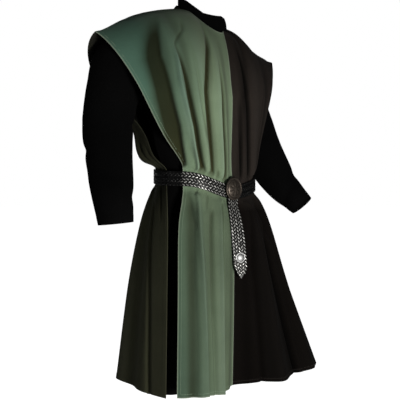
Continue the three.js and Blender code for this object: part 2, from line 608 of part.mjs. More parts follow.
// A sleeve, wider than the arm and open at both ends: rings through the armhole and
// then through its table, each an oval between its outer and inner point.
function sleeve(side, rings, square) {
  const armpit = TUNIC_FRONT_SECTIONS[0];
  const head = {
    outX: TUNIC_SHOULDER_X + SEAM_GAP, outZ: armholeTop(side),
    inX: TUNIC_SHOULDER_X + SEAM_GAP, inZ: armpit.edgeZ, y: 0, flat: 0,
  };
  const all = [head, ...rings];
  const outPoints = all.map((row) => new THREE.Vector3(side * row.outX, row.y, row.outZ));
  const inPoints = all.map((row) => new THREE.Vector3(side * row.inX, row.y, row.inZ));
  const outLine = new THREE.CatmullRomCurve3(outPoints);
  const inLine = new THREE.CatmullRomCurve3(inPoints);
  const middle = (at) => outLine.getPoint(at).lerp(inLine.getPoint(at), 0.5);
  const outer = [];
  for (let i = 0; i <= SLEEVE_STEPS; i++) {
    const at = i / SLEEVE_STEPS;
    const place = at * (all.length - 1);
    const k = Math.min(Math.floor(place), all.length - 2);
    const centre = middle(at);
    const outward = outLine.getPoint(at).sub(centre);
    const radius = outward.length();
    outward.normalize();
    const along = middle(Math.min(at + 0.01, 1)).sub(middle(Math.max(at - 0.01, 0)));
    const fore = new THREE.Vector3(0, -1, 0);
    if (i > 0) fore.crossVectors(outward, along).normalize();
    if (fore.y > 0) fore.negate();
    fore.z *= square;
    fore.normalize();
    const headDepth = ARMHOLE_HALF_DEPTH / radius;
    const depth = mix(all[k].flat || headDepth, all[k + 1].flat, place - k);
    const ring = [];
    for (let j = 0; j < SLEEVE_SIDES; j++) {
      const angle = (j / SLEEVE_SIDES) * 2 * Math.PI;
      const swell = sleeveFold(at, angle);
      const point = centre.clone()
        .addScaledVector(fore, Math.sin(angle) * (radius * depth + swell))
        .addScaledVector(outward, Math.cos(angle) * (radius + swell));
      if (i > 0) point.x = side * Math.max(side * point.x, head.outX + SLEEVE_CLEAR);
      ring.push(point);
    }
    outer.push(ring);
  }
  const normals = gridNormals(outer, true);
  const core = middle(0.5);
  const midRow = Math.round(SLEEVE_STEPS / 2);
  const sign = normals[midRow][0].dot(outer[midRow][0].clone().sub(core)) > 0 ? -1 : 1;
  for (const normal of normals[0]) normal.setX(0).normalize();
  const inner = moveOut(outer, normals, () => sign * TUNIC_WALL);
  return { outer, inner };
}

function sleeveFold(along, angle) {
  let height = 0;
  for (const fold of SLEEVE_FOLDS) {
    const turn = Math.cos(angle - fold.around);
    const place = fold.along + 0.03 * Math.sin(angle - fold.around);
    height += fold.deep * Math.max(0, turn) * Math.exp(-(((along - place) / fold.wide) ** 2));
  }
  return height;
}

function collarWall() {
  const rows = [0, 0.5, 1].map((share) => {
    const ring = [];
    for (let j = 0; j < COLLAR.columns; j++) {
      const angle = (j / COLLAR.columns) * 2 * Math.PI;
      const fore = Math.cos(angle);
      const face = fore >= 0 ? FRONT : BACK;
      const foot = tunicNeck(Math.sin(angle) >= 0 ? RIGHT : LEFT, face, Math.acos(Math.abs(fore)));
      const height = readTable(COLLAR_HEIGHTS, THREE.MathUtils.radToDeg(angle));
      const narrow = 1 - (COLLAR.lean / NECK.front) * share * (1 + fore);
      ring.push(new THREE.Vector3(foot.x, foot.y * narrow, foot.z + COLLAR.gap + height * share));
    }
    return ring;
  });
  const normals = gridNormals(rows, true);
  const sign = normals[1][0].dot(rows[1][0].clone().setZ(0)) > 0 ? -1 : 1;
  return { outer: rows, inner: moveOut(rows, normals, () => sign * COLLAR_WALL) };
}

// The loop that the surcoat makes under the belt, level by level, with the side gaps
// bridged, as points equally spaced round the waist.
function waistLoop() {
  const rowAt = (side, face, sections) => {
    const top = sectionPoints(side, face, sections[BELT_TOP_ROW - 1], 9);
    const foot = sectionPoints(side, face, sections[BELT_FOOT_ROW - 1], 9);
    return top.map((point, j) => point.clone().lerp(foot[j], 0.5));
  };
  const frontRight = rowAt(RIGHT, FRONT, FRONT_RIGHT_SECTIONS);
  const backRight = rowAt(RIGHT, BACK, BACK_RIGHT_SECTIONS).reverse();
  const backLeft = rowAt(LEFT, BACK, BACK_LEFT_SECTIONS);
  const frontLeft = rowAt(LEFT, FRONT, FRONT_LEFT_SECTIONS).reverse();
  const loop = [...frontRight, ...backRight, ...backLeft.slice(1), ...frontLeft.slice(0, -1)];
  return new THREE.CatmullRomCurve3(loop, true).getSpacedPoints(BELT.columns).slice(0, -1);
}

function beltWall() {
  const loop = waistLoop();
  const foldRoom = readTable(FOLD_LIMIT, 4.5);
  const ringAt = (out, up) => loop.map((point, j) => {
    const before = loop[(j - 1 + loop.length) % loop.length];
    const after = loop[(j + 1) % loop.length];
    const away = new THREE.Vector3(after.y - before.y, before.x - after.x, 0).normalize();
    if (away.dot(new THREE.Vector3(point.x, point.y, 0)) < 0) away.negate();
    return point.clone().addScaledVector(away, out).add(new THREE.Vector3(0, 0, up));
  });
  const near = foldRoom + BELT.gap;
  const half = BELT.height / 2;
  const heights = [half, half * BELT.flatShare, -half * BELT.flatShare, -half];
  const outer = heights.map((up) => {
    return ringAt(near + BELT.wall * (Math.abs(up) === half ? EDGE_SHARE : 1), up);
  });
  return { outer, inner: heights.map((up) => ringAt(near, up)) };
}

// Where the belt's outer face crosses the middle of the front.
function beltFront() {
  const row = FRONT_RIGHT_SECTIONS[BELT_TOP_ROW - 1];
  const foot = FRONT_RIGHT_SECTIONS[BELT_FOOT_ROW - 1];
  const out = readTable(FOLD_LIMIT, 4.5) + BELT.gap + BELT.wall;
  return new THREE.Vector3(0, row.midY - out, (row.midZ + foot.midZ) / 2);
}

function tailPoint(drop) {
  const free = Math.max(0, drop - TAIL.flatTo);
  const swung = 1 - Math.exp(-free / TAIL.fall);
  const twist = THREE.MathUtils.degToRad(TAIL.twist * swung);
  const start = beltFront();
  return {
    centre: new THREE.Vector3(
      mix(TAIL.startX, TAIL.endX, free / (TAIL.length - TAIL.flatTo)),
      start.y - SEAM_GAP - TAIL.standOff * swung,
      start.z - drop,
    ),
    across: new THREE.Vector3(Math.cos(twist), -Math.sin(twist), 0),
    out: new THREE.Vector3(-Math.sin(twist), -Math.cos(twist), 0),
  };
}

function tailWall() {
  const outer = [];
  const inner = [];
  for (let i = 0; i <= TAIL.rows; i++) {
    const drop = (i / TAIL.rows) * TAIL.length;
    const { centre, across, out } = tailPoint(drop);
    const left = Math.min(1, (TAIL.length - drop) / TAIL.pointLength);
    const half = (TAIL.width / 2) * Math.max(TAIL.tipShare, mix(Math.sqrt(1 - (1 - left) ** 2), left, 0.5));
    inner.push(TAIL.columns.map((share) => centre.clone().addScaledVector(across, share * half)));
    outer.push(TAIL.columns.map((share) => centre.clone().addScaledVector(across, share * half)
      .addScaledVector(out, TAIL.wall * (Math.abs(share) === 1 ? EDGE_SHARE : 1))));
  }
  return { outer, inner };
}

// A round plate turned about its own axis, its flat back at height 0.
function domedPlate({ radius, thick, sides }) {
  const outline = PLATE_PROFILE.map(({ out, up }) => new THREE.Vector2(radius * out, thick * up));
  return new THREE.LatheGeometry(outline, sides);
}

// Stands a plate on a point, its axis along "out".
function seatPlate(mesh, point, out) {
  mesh.quaternion.setFromUnitVectors(new THREE.Vector3(0, 1, 0), out);
  mesh.position.copy(point);
}

const GREEN = { color: 0x40523f, roughness: 0.85, metalness: 0 };
const CHARCOAL = { color: 0x25211e, roughness: 0.85, metalness: 0 };
const OLIVE = { color: 0x24271b, roughness: 0.88, metalness: 0 };
const BLACK = { color: 0x0d0d0f, roughness: 0.9, metalness: 0 };
const LEATHER = { color: 0x2b2b28, roughness: 0.4, metalness: 0 };
const SILVER = { color: 0x8d877b, roughness: 0.35, metalness: 1 };

const group = new THREE.Group();

const PANELS = [
  { name: "surcoat_front_right", side: RIGHT, face: FRONT, sections: FRONT_RIGHT_SECTIONS,
    bodice: GREEN_BODICE_FOLDS, skirt: GREEN_SKIRT_FOLDS, finish: GREEN },
  { name: "surcoat_front_left", side: LEFT, face: FRONT, sections: FRONT_LEFT_SECTIONS,
    bodice: CHARCOAL_BODICE_FOLDS, skirt: CHARCOAL_SKIRT_FOLDS, finish: CHARCOAL },
  { name: "surcoat_back_right", side: RIGHT, face: BACK, sections: BACK_RIGHT_SECTIONS,
    bodice: BACK_BODICE_FOLDS, skirt: BACK_SKIRT_FOLDS, finish: OLIVE },
  { name: "surcoat_back_left", side: LEFT, face: BACK, sections: BACK_LEFT_SECTIONS,
    bodice: BACK_BODICE_FOLDS, skirt: BACK_SKIRT_FOLDS, finish: CHARCOAL },
];
for (const panel of PANELS) {
  const wall = surcoatPanel(panel.side, panel.face, panel.sections, panel.bodice, panel.skirt);
  addMesh(group, panel.name, wallGeometry(wall.outer, wall.inner, false), panel.finish);
}

for (const [name, face, sections] of [
  ["tunic_front", FRONT, TUNIC_FRONT_SECTIONS],
  ["tunic_back", BACK, TUNIC_BACK_SECTIONS],
]) {
  const wall = tunicPanel(face, sections);
  addMesh(group, name, wallGeometry(wall.outer, wall.inner, false), BLACK);
}

for (const [name, side, rings, square] of [
  ["tunic_sleeve_right", RIGHT, SLEEVE_RIGHT_RINGS, SLEEVE_SQUARE.right],
  ["tunic_sleeve_left", LEFT, SLEEVE_LEFT_RINGS, SLEEVE_SQUARE.left],
]) {
  const wall = sleeve(side, rings, square);
  addMesh(group, name, wallGeometry(wall.outer, wall.inner, true), BLACK);
}

const collar = collarWall();
addMesh(group, "collar", wallGeometry(collar.outer, collar.inner, true), BLACK);

const belt = beltWall();
addMesh(group, "belt", wallGeometry(belt.outer, belt.inner, true), LEATHER);

const tail = tailWall();
addMesh(group, "belt_tail", wallGeometry(tail.outer, tail.inner, false), LEATHER);

const buckle = addMesh(group, "belt_buckle", domedPlate(BUCKLE), SILVER);
const buckleOut = new THREE.Vector3(0, -1, 0);
const buckleSeat = beltFront().add(new THREE.Vector3(BUCKLE.x, -2 * SEAM_GAP - TAIL.wall, BUCKLE.rise));
seatPlate(buckle, buckleSeat, buckleOut);

const concho = addMesh(group, "belt_concho", domedPlate(CONCHO), SILVER);
const conchoSeat = tailPoint(CONCHO.drop);
seatPlate(concho, conchoSeat.centre.addScaledVector(conchoSeat.out, TAIL.wall + SEAM_GAP), conchoSeat.out);

export default group;
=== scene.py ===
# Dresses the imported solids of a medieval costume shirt: a parti-coloured surcoat over a
# black tunic, with a collar and a braided belt that ends in a hanging tail.
# The tables are in millimetres and the meshes in metres. The front faces -Y and the
# wearer's right is -X.
import math

import bpy
import numpy as np
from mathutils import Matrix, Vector


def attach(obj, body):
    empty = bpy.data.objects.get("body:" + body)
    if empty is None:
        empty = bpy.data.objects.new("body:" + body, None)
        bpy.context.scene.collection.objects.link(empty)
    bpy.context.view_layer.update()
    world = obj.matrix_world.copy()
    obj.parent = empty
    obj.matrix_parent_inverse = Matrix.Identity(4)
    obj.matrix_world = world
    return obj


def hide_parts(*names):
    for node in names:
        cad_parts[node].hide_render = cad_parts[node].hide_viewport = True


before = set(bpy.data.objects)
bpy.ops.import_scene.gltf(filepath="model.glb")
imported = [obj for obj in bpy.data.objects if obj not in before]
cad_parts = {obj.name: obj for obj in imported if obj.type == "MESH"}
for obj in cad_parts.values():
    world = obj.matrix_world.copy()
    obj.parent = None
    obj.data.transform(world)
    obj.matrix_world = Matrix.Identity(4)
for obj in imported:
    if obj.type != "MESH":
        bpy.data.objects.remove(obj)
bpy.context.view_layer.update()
print("frame loaded:", len(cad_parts), "nodes")

metre = 0.001  # one millimetre
toRight, toLeft = -1, 1
toFront, toBack = -1, 1
seamGap = 0.3  # between pieces that meet


# Gives a node's inputs their values, or links them to the outputs that feed them.
def feed(tree, node, inputs):
    for socket, value in inputs.items():
        if isinstance(value, bpy.types.NodeSocket):
            tree.links.new(value, node.inputs[socket])
        else:
            node.inputs[socket].default_value = value


def addNode(tree, kind, inputs=None, **settings):
    node = tree.nodes.new(kind)
    for name, value in settings.items():
        setattr(node, name, value)
    feed(tree, node, inputs or {})
    return node


def colour4(rgb):
    return (*rgb, 1)


# Camera, lamps, backdrop and floor.
studio = {
    "cameraPlace": (-1.5556, -1.5556, -0.489),
    "cameraTurn": -45,          # degrees from the wearer's front
    "lens": 70.65,
    "sensor": 36,
    "raise": -0.0375,           # frame shift, so the horizon lies a little above the middle
    "farthest": 100,
    "lampAim": (0, 0, -0.5),
    "floorZ": -1.5,
    "floorSize": 60,
    "floorTone": (0.6, 0.6, 0.6),
    "floorRoughness": 0.9,
    "white": (1, 1, 1),
    "background": 1.0,
    "ambient": 0.05,
    "ambientTint": (0.93, 0.97, 1),
}
lamps = {
    "key": {"place": (-0.75, -2.35, -1.0), "size": 0.5, "power": 50, "tint": (1, 0.985, 0.95)},
    "fill": {"place": (-2.6, -0.2, 0.2), "size": 1.6, "power": 3, "tint": (0.97, 0.99, 1)},
    "backRight": {"place": (-2.2, 1.5, -0.4), "size": 1.4, "power": 6, "tint": (1, 1, 0.97)},
    "backLeft": {"place": (1.5, 2.4, 0.1), "size": 1.2, "power": 9, "tint": (1, 1, 1)},
    "top": {"place": (-0.2, -0.3, 2.2), "size": 1.6, "power": 2, "tint": (1, 1, 1)},
}


def placeCamera():
    data = bpy.data.cameras.new("camera")
    data.lens = studio["lens"]
    data.sensor_width = studio["sensor"]
    data.shift_y = studio["raise"]
    data.clip_end = studio["farthest"]
    camera = bpy.data.objects.new("camera", data)
    camera.location = studio["cameraPlace"]
    camera.rotation_euler = (math.pi / 2, 0, math.radians(studio["cameraTurn"]))
    bpy.context.scene.collection.objects.link(camera)
    bpy.context.scene.camera = camera


# A square soft lamp, turned to face the middle of the garment.
def placeLamp(name, lamp):
    data = bpy.data.lights.new(name, "AREA")
    data.shape = "SQUARE"
    data.size = lamp["size"]
    data.energy = lamp["power"]
    data.color = lamp["tint"]
    lampObject = bpy.data.objects.new(name, data)
    bpy.context.scene.collection.objects.link(lampObject)
    lampObject.location = lamp["place"]
    aim = Vector(studio["lampAim"]) - lampObject.location
    lampObject.rotation_euler = aim.to_track_quat("-Z", "Y").to_euler()


# The backdrop is white where the camera looks at it, and lights the cloth more weakly.
def paintBackdrop():
    world = bpy.data.worlds.new("studio")
    world.use_nodes = True
    bpy.context.scene.world = world
    tree = world.node_tree
    tree.nodes.clear()
    seen = addNode(tree, "ShaderNodeBackground", {
        "Color": colour4(studio["white"]), "Strength": studio["background"],
    })
    glow = addNode(tree, "ShaderNodeBackground", {
        "Color": colour4(studio["ambientTint"]), "Strength": studio["ambient"],
    })
    ray = addNode(tree, "ShaderNodeLightPath")
    mixer = addNode(tree, "ShaderNodeMixShader", {
        0: ray.outputs["Is Camera Ray"], 1: glow.outputs[0], 2: seen.outputs[0],
    })
    addNode(tree, "ShaderNodeOutputWorld", {0: mixer.outputs[0]})


# A pale floor that looks white to the camera and throws little light up at the cloth.
def layFloor():
    half, z = studio["floorSize"] / 2, studio["floorZ"]
    corners = [(-half, -half, z), (half, -half, z), (half, half, z), (-half, half, z)]
    mesh = bpy.data.meshes.new("floor")
    mesh.from_pydata(corners, [], [(0, 1, 2, 3)])
    material = bpy.data.materials.new("pale_floor")
    material.use_nodes = True
    tree = material.node_tree
    ray = addNode(tree, "ShaderNodeLightPath")
    feed(tree, tree.nodes["Principled BSDF"], {
        "Base Color": colour4(studio["floorTone"]),
        "Roughness": studio["floorRoughness"],
        "Emission Color": colour4(studio["white"]),
        "Emission Strength": ray.outputs["Is Camera Ray"],
    })
    mesh.materials.append(material)
    floor = bpy.data.objects.new("floor", mesh)
    bpy.context.scene.collection.objects.link(floor)


placeCamera()
for lampName, lampLook in lamps.items():
    placeLamp(lampName, lampLook)
paintBackdrop()
layFloor()
bpy.context.scene.view_settings.view_transform = "Standard"
print("studio ready")


# Helpers for shapes. The first is a share of the way from a to b.
def mix(a, b, share):
    return a + (b - a) * share


# A soft step from 0 to 1 between two values.
def softStep(value, low, high):
    share = np.clip((value - low) / (high - low), 0, 1)
    return share * share * (3 - 2 * share)


# Vectors brought to length 1.
def unit(vectors):
    return vectors / np.maximum(np.linalg.norm(vectors, axis=-1, keepdims=True), 1e-9)


# A smooth bump: 1 in the middle, and almost gone two widths away.
def bell(distance, wide):
    return np.exp(-((distance / wide) ** 2))


# The rows of a table that is written as named columns.
def tableRows(table):
    return [dict(zip(table, row)) for row in zip(*table.values())]


# Cubic through b and c, its slope at each end taken from the points on both sides.
def throughFour(a, b, c, d, t):
    square = 2 * a - 5 * b + 4 * c - d
    cube = 3 * b - a - 3 * c + d
    return 0.5 * (2 * b + (c - a) * t + square * t**2 + cube * t**3)


# Rows of points between sections, at levels counted from the second section. The first
# and last sections only give the slope at the ends.
def throughSections(sections, level):
    k = np.minimum(level.astype(int), len(sections) - 4)
    t = (level - k)[:, None, None]
    return throughFour(sections[k], sections[k + 1], sections[k + 2], sections[k + 3], t)


# A curve through points with spans weighted by the root of their length, read at
# places from 0 to 1, the points themselves lying at equal steps.
def curveAt(points, places, closed=False):
    points = np.asarray(points, float)
    if closed:
        padded = np.concatenate([points[-1:], points, points[:2]])
        spans = len(points)
    else:
        padded = np.concatenate([[2 * points[0] - points[1]], points, [2 * points[-1] - points[-2]]])
        spans = len(points) - 1
    place = np.clip(np.asarray(places) * spans, 0, spans)
    k = np.minimum(place.astype(int), spans - 1)
    t = (place - k)[:, None]
    p0, p1, p2, p3 = (padded[k + n] for n in range(4))
    lengths = (np.linalg.norm(b - a, axis=1)[:, None] for a, b in ((p0, p1), (p1, p2), (p2, p3)))
    d0, d1, d2 = (np.maximum(np.sqrt(length), 1e-4) for length in lengths)
    slope1 = ((p1 - p0) / d0 - (p2 - p0) / (d0 + d1) + (p2 - p1) / d1) * d1
    slope2 = ((p2 - p1) / d1 - (p3 - p1) / (d1 + d2) + (p3 - p2) / d2) * d1
    square = -3 * p1 + 3 * p2 - 2 * slope1 - slope2
    cube = 2 * p1 - 2 * p2 + slope1 + slope2
    return p1 + slope1 * t + square * t**2 + cube * t**3


# Reads a line of points again at equal distances along it.
def evenly(points, count):
    steps = np.linalg.norm(np.diff(points, axis=0), axis=1)
    run = np.concatenate([[0], np.cumsum(steps)])
    at = np.linspace(0, run[-1], count)
    return np.stack([np.interp(at, run, points[:, n]) for n in range(3)], 1)


# Normals of a grid: the cross product of its two directions at each point.
def gridNormals(grid, wrap=False):
    if wrap:
        across = np.roll(grid, -1, 1) - np.roll(grid, 1, 1)
    else:
        across = np.gradient(grid, axis=1)
    return unit(np.cross(across, np.gradient(grid, axis=0)))


# Evens a grid out, each inner point moving towards the mean of its neighbours.
def relax(grid, rounds):
    grid = grid.copy()
    for _ in range(rounds):
        mean = (grid[:-2, 1:-1] + grid[2:, 1:-1] + grid[1:-1, :-2] + grid[1:-1, 2:]) / 4
        grid[1:-1, 1:-1] = mix(grid[1:-1, 1:-1], mean, 0.5)
    return grid


# Distances over the cloth, as running sums of the steps between points: across each row
# from its first point, and down each column.
def clothDistances(grid, wrap=False):
    if wrap:
        grid = np.concatenate([grid, grid[:, :1]], 1)
    steps = np.linalg.norm(np.diff(grid, axis=1), axis=2)
    across = np.concatenate([np.zeros((len(grid), 1)), np.cumsum(steps, 1)], 1)
    drops = np.linalg.norm(np.diff(grid, axis=0), axis=2)
    down = np.concatenate([np.zeros((1, grid.shape[1])), np.cumsum(drops, 0)], 0)
    return across, down


# The row and column numbers of all cells of a grid, row after row.
def gridCells(rows, columns):
    row, column = np.indices((rows, columns))
    return row.ravel(), column.ravel()


# Quads over rings of points, each ring joined to the next, and both ends closed.
def ringQuads(rings, sides):
    i, j = gridCells(rings - 1, sides)
    near, far = i * sides, (i + 1) * sides
    nextJ = (j + 1) % sides
    body = np.stack([near + j, near + nextJ, far + nextJ, far + j], 1)
    fan = np.arange(1, sides - 2, 2)
    cap = np.stack([0 * fan, fan, fan + 1, fan + 2], 1)
    return np.concatenate([body, cap[:, ::-1], cap + (rings - 1) * sides])


# Puts vertices and quads into a new mesh object, with a UV for each corner and a value
# for each vertex under each attribute's name. The quads are turned to face outwards.
def makePiece(name, points, quads, cornerUv=None, attributes=None, sharp=50):
    a, b, c, d = (points[quads[:, n]] for n in range(4))
    volume = (a * (np.cross(b, c) + np.cross(c, d))).sum()
    if volume < 0:
        quads = quads[:, ::-1]
        cornerUv = None if cornerUv is None else cornerUv[:, ::-1]
    mesh = bpy.data.meshes.new(name)
    mesh.vertices.add(len(points))
    mesh.vertices.foreach_set("co", (points * metre).astype(np.float32).ravel())
    mesh.loops.add(quads.size)
    mesh.loops.foreach_set("vertex_index", quads.astype(np.int32).ravel())
    mesh.polygons.add(len(quads))
    mesh.polygons.foreach_set("loop_start", np.arange(0, quads.size, 4, dtype=np.int32))
    mesh.polygons.foreach_set("loop_total", np.full(len(quads), 4, np.int32))
    mesh.polygons.foreach_set("use_smooth", np.ones(len(quads), bool))
    mesh.update(calc_edges=True)
    if cornerUv is not None:
        layer = mesh.uv_layers.new(name="cloth")
        layer.data.foreach_set("uv", (cornerUv * metre).astype(np.float32).ravel())
    for label, values in (attributes or {}).items():
        field = mesh.attributes.new(label, "FLOAT", "POINT")
        field.data.foreach_set("value", values.astype(np.float32).ravel())
    mesh.validate()
    mesh.set_sharp_from_angle(angle=math.radians(sharp))
    piece = bpy.data.objects.new(name, mesh)
    bpy.context.scene.collection.objects.link(piece)
    return piece


# Four corners for each of many quads, each corner a (layer, row, column) in numbers or
# in whole arrays.
def cornersOf(*corners):
    return np.stack([np.stack(np.broadcast_arrays(*corner), -1) for corner in corners], 1)


# A closed wall between two grids of points: both faces, and the rims that join them.
def makeWall(name, outer, inner, wrap=False, attributes=None):
    rows, columns = outer.shape[:2]
    spans = columns if wrap else columns - 1
    i, j = gridCells(rows - 1, spans)
    parts = [
        cornersOf((0, i, j), (0, i, j + 1), (0, i + 1, j + 1), (0, i + 1, j)),
        cornersOf((1, i + 1, j), (1, i + 1, j + 1), (1, i, j + 1), (1, i, j)),
    ]
    i, j = np.arange(rows - 1), np.arange(spans)
    foot, end = rows - 1, columns - 1
    parts.append(cornersOf((0, 0, j + 1), (0, 0, j), (1, 0, j), (1, 0, j + 1)))
    parts.append(cornersOf((1, foot, j + 1), (1, foot, j), (0, foot, j), (0, foot, j + 1)))
    if not wrap:
        parts.append(cornersOf((0, i, 0), (0, i + 1, 0), (1, i + 1, 0), (1, i, 0)))
        parts.append(cornersOf((1, i, end), (1, i + 1, end), (0, i + 1, end), (0, i, end)))
    layer, row, column = np.moveaxis(np.concatenate(parts), -1, 0)
    quads = layer * rows * columns + row * columns + column % columns
    across, down = clothDistances(outer, wrap)
    cornerUv = np.stack([across[row, column], down[row, column]], -1)
    points = np.concatenate([outer.reshape(-1, 3), inner.reshape(-1, 3)])
    onBoth = {label: np.tile(values.ravel(), 2) for label, values in (attributes or {}).items()}
    return makePiece(name, points, quads, cornerUv, onBoth)


# Cloth finishes.
# Painted light in these looks: "shade" is painted shade in the folds' hollows, "worn" a painted highlight on
# their crests and also the stitch thread's colour, the shoulder, bodice and skirt factors paint light and
# shade by height, the side tint paints a bluish shade towards the wearer's right, and "rubbed" is a painted
# highlight along the edges.
clothLooks = {
    "green_cloth": {
        "colour": (0.150, 0.205, 0.128), "shade": (0.028, 0.029, 0.011), "worn": (0.185, 0.25, 0.175),
        "weave": 1.1, "sheen": 0.05, "roughness": 0.82, "shoulder": 0.5, "bodice": 1.24, "skirt": 0.74,
        "sideLightTint": (0.42, 0.62, 0.72), "shine": 0.12, "rubbed": (0.27, 0.32, 0.24), "edgeHighlight": 0.8,
    },
    "charcoal_cloth": {
        "colour": (0.0265, 0.0215, 0.0185), "shade": (0.005, 0.0045, 0.004), "worn": (0.034, 0.029, 0.026),
        "weave": 1.1, "sheen": 0.01, "roughness": 0.92, "shoulder": 0.5, "bodice": 1.0, "skirt": 0.18,
        "sideLightTint": (1, 1, 1), "shine": 0.03, "rubbed": (0.05, 0.045, 0.04), "edgeHighlight": 0.25,
    },
    "olive_cloth": {
        "colour": (0.034, 0.035, 0.020), "shade": (0.016, 0.016, 0.010), "worn": (0.045, 0.046, 0.028),
        "weave": 1.1, "sheen": 0.04, "roughness": 0.9, "shoulder": 0.15, "bodice": 0.6, "skirt": 1.12,
        "sideLightTint": (1, 1, 1), "shine": 0.08, "rubbed": (0.07, 0.07, 0.045), "edgeHighlight": 0.3,
    },
    "black_cloth": {
        "colour": (0.0025, 0.0025, 0.0026), "shade": (0.0013, 0.0013, 0.0014), "worn": (0.004, 0.004, 0.0042),
        "weave": 0.9, "sheen": 0.004, "roughness": 0.95, "shoulder": 0.7, "bodice": 0.8, "skirt": 1.2,
        "sideLightTint": (1, 1, 1), "shine": 0.04, "rubbed": (0.01, 0.01, 0.01), "edgeHighlight": 0,
    },
}
# Where the painted light and shade pass from one level to the next, in metres: heights for
# shoulder and belt, and distances towards the wearer's right for the painted bluish shade.
paintedLightReach = {"shoulder": (-0.26, -0.05), "belt": (-0.56, -0.49), "side": (-0.27, -0.1)}
# What all cloths share: the patterns, and the tones at the low and high end of each.
clothGrain = {
    "dye": {"Scale": 7.0, "Detail": 4.0, "Roughness": 0.55}, "dyeTone": (0.86, 1.12),
    "fibres": {"Scale": 520.0, "Detail": 3.0, "Roughness": 0.6}, "fibreTone": (0.88, 1.12),
    "twill": {"Distortion": 0.6, "Detail": 1.0}, "twillTone": (0.9, 1.06),
    "rumple": {"Scale": 26.0, "Detail": 2.0, "Roughness": 0.5},
    "fibreRise": 0.6,           # of the twill's own height
    # The crest values set the painted highlight on the folds' crests: where it starts, and its most.
    "crestFrom": 0.1, "crestMost": 0.8,     # how the folds' crests turn pale
    "bump": 0.35, "weaveDepth": 0.0004, "rumpleDepth": 0.004,
    "sheenRoughness": 0.45,
}
noiseRange = (0.3, 0.7)         # where nearly all of a noise lies
diagonalWave = 0.628            # period of the diagonal wave texture at scale 1
stitch = {"inset": 9.0, "wide": 0.5, "pitch": 3.4, "share": 0.66}


def newMaterial(name):
    material = bpy.data.materials.new(name)
    material.use_nodes = True
    return material, material.node_tree, material.node_tree.nodes["Principled BSDF"]


# A value carried from one range to another and held at its ends.
def ranged(tree, value, fromRange, toRange):
    ends = {1: fromRange[0], 2: fromRange[1], 3: toRange[0], 4: toRange[1]}
    return addNode(tree, "ShaderNodeMapRange", {0: value, **ends}).outputs[0]


def calculated(tree, operation, *values):
    return addNode(tree, "ShaderNodeMath", dict(enumerate(values)), operation=operation).outputs[0]


def colourMix(tree, share, first, second):
    return addNode(tree, "ShaderNodeMix", {0: share, 6: first, 7: second}, data_type="RGBA").outputs[2]


def noise(tree, place, look):
    return addNode(tree, "ShaderNodeTexNoise", {"Vector": place, **look}).outputs["Fac"]


def attribute(tree, name):
    return addNode(tree, "ShaderNodeAttribute", attribute_name=name).outputs["Fac"]


def bump(tree, height, strength, distance, **normal):
    inputs = {"Height": height, "Strength": strength, "Distance": distance, **normal}
    return addNode(tree, "ShaderNodeBump", inputs).outputs[0]


# Dashes on a line inside the hem: 1 on a stitch and 0 beside it.
def stitches(tree, clothPlace):
    hem, inset, wide = attribute(tree, "hem"), stitch["inset"] * metre, stitch["wide"] * metre
    onLine = calculated(tree, "COMPARE", hem, inset, wide)
    parts = addNode(tree, "ShaderNodeSeparateXYZ", {0: clothPlace})
    along = calculated(tree, "ADD", parts.outputs[0], parts.outputs[1])
    share = calculated(tree, "FRACT", calculated(tree, "MULTIPLY", along, 1 / (stitch["pitch"] * metre)))
    return calculated(tree, "MULTIPLY", onLine, calculated(tree, "LESS_THAN", share, stitch["share"]))


# Light and shade painted into a cloth's colour by height: a factor for the shoulder, the bodice and the
# skirt.
def paintedLightByHeight(tree, height, look):
    shoulder = ranged(tree, height, paintedLightReach["shoulder"], (1.0, look["shoulder"]))
    belt = ranged(tree, height, paintedLightReach["belt"], (look["skirt"], look["bodice"]))
    return calculated(tree, "MULTIPLY", shoulder, belt)
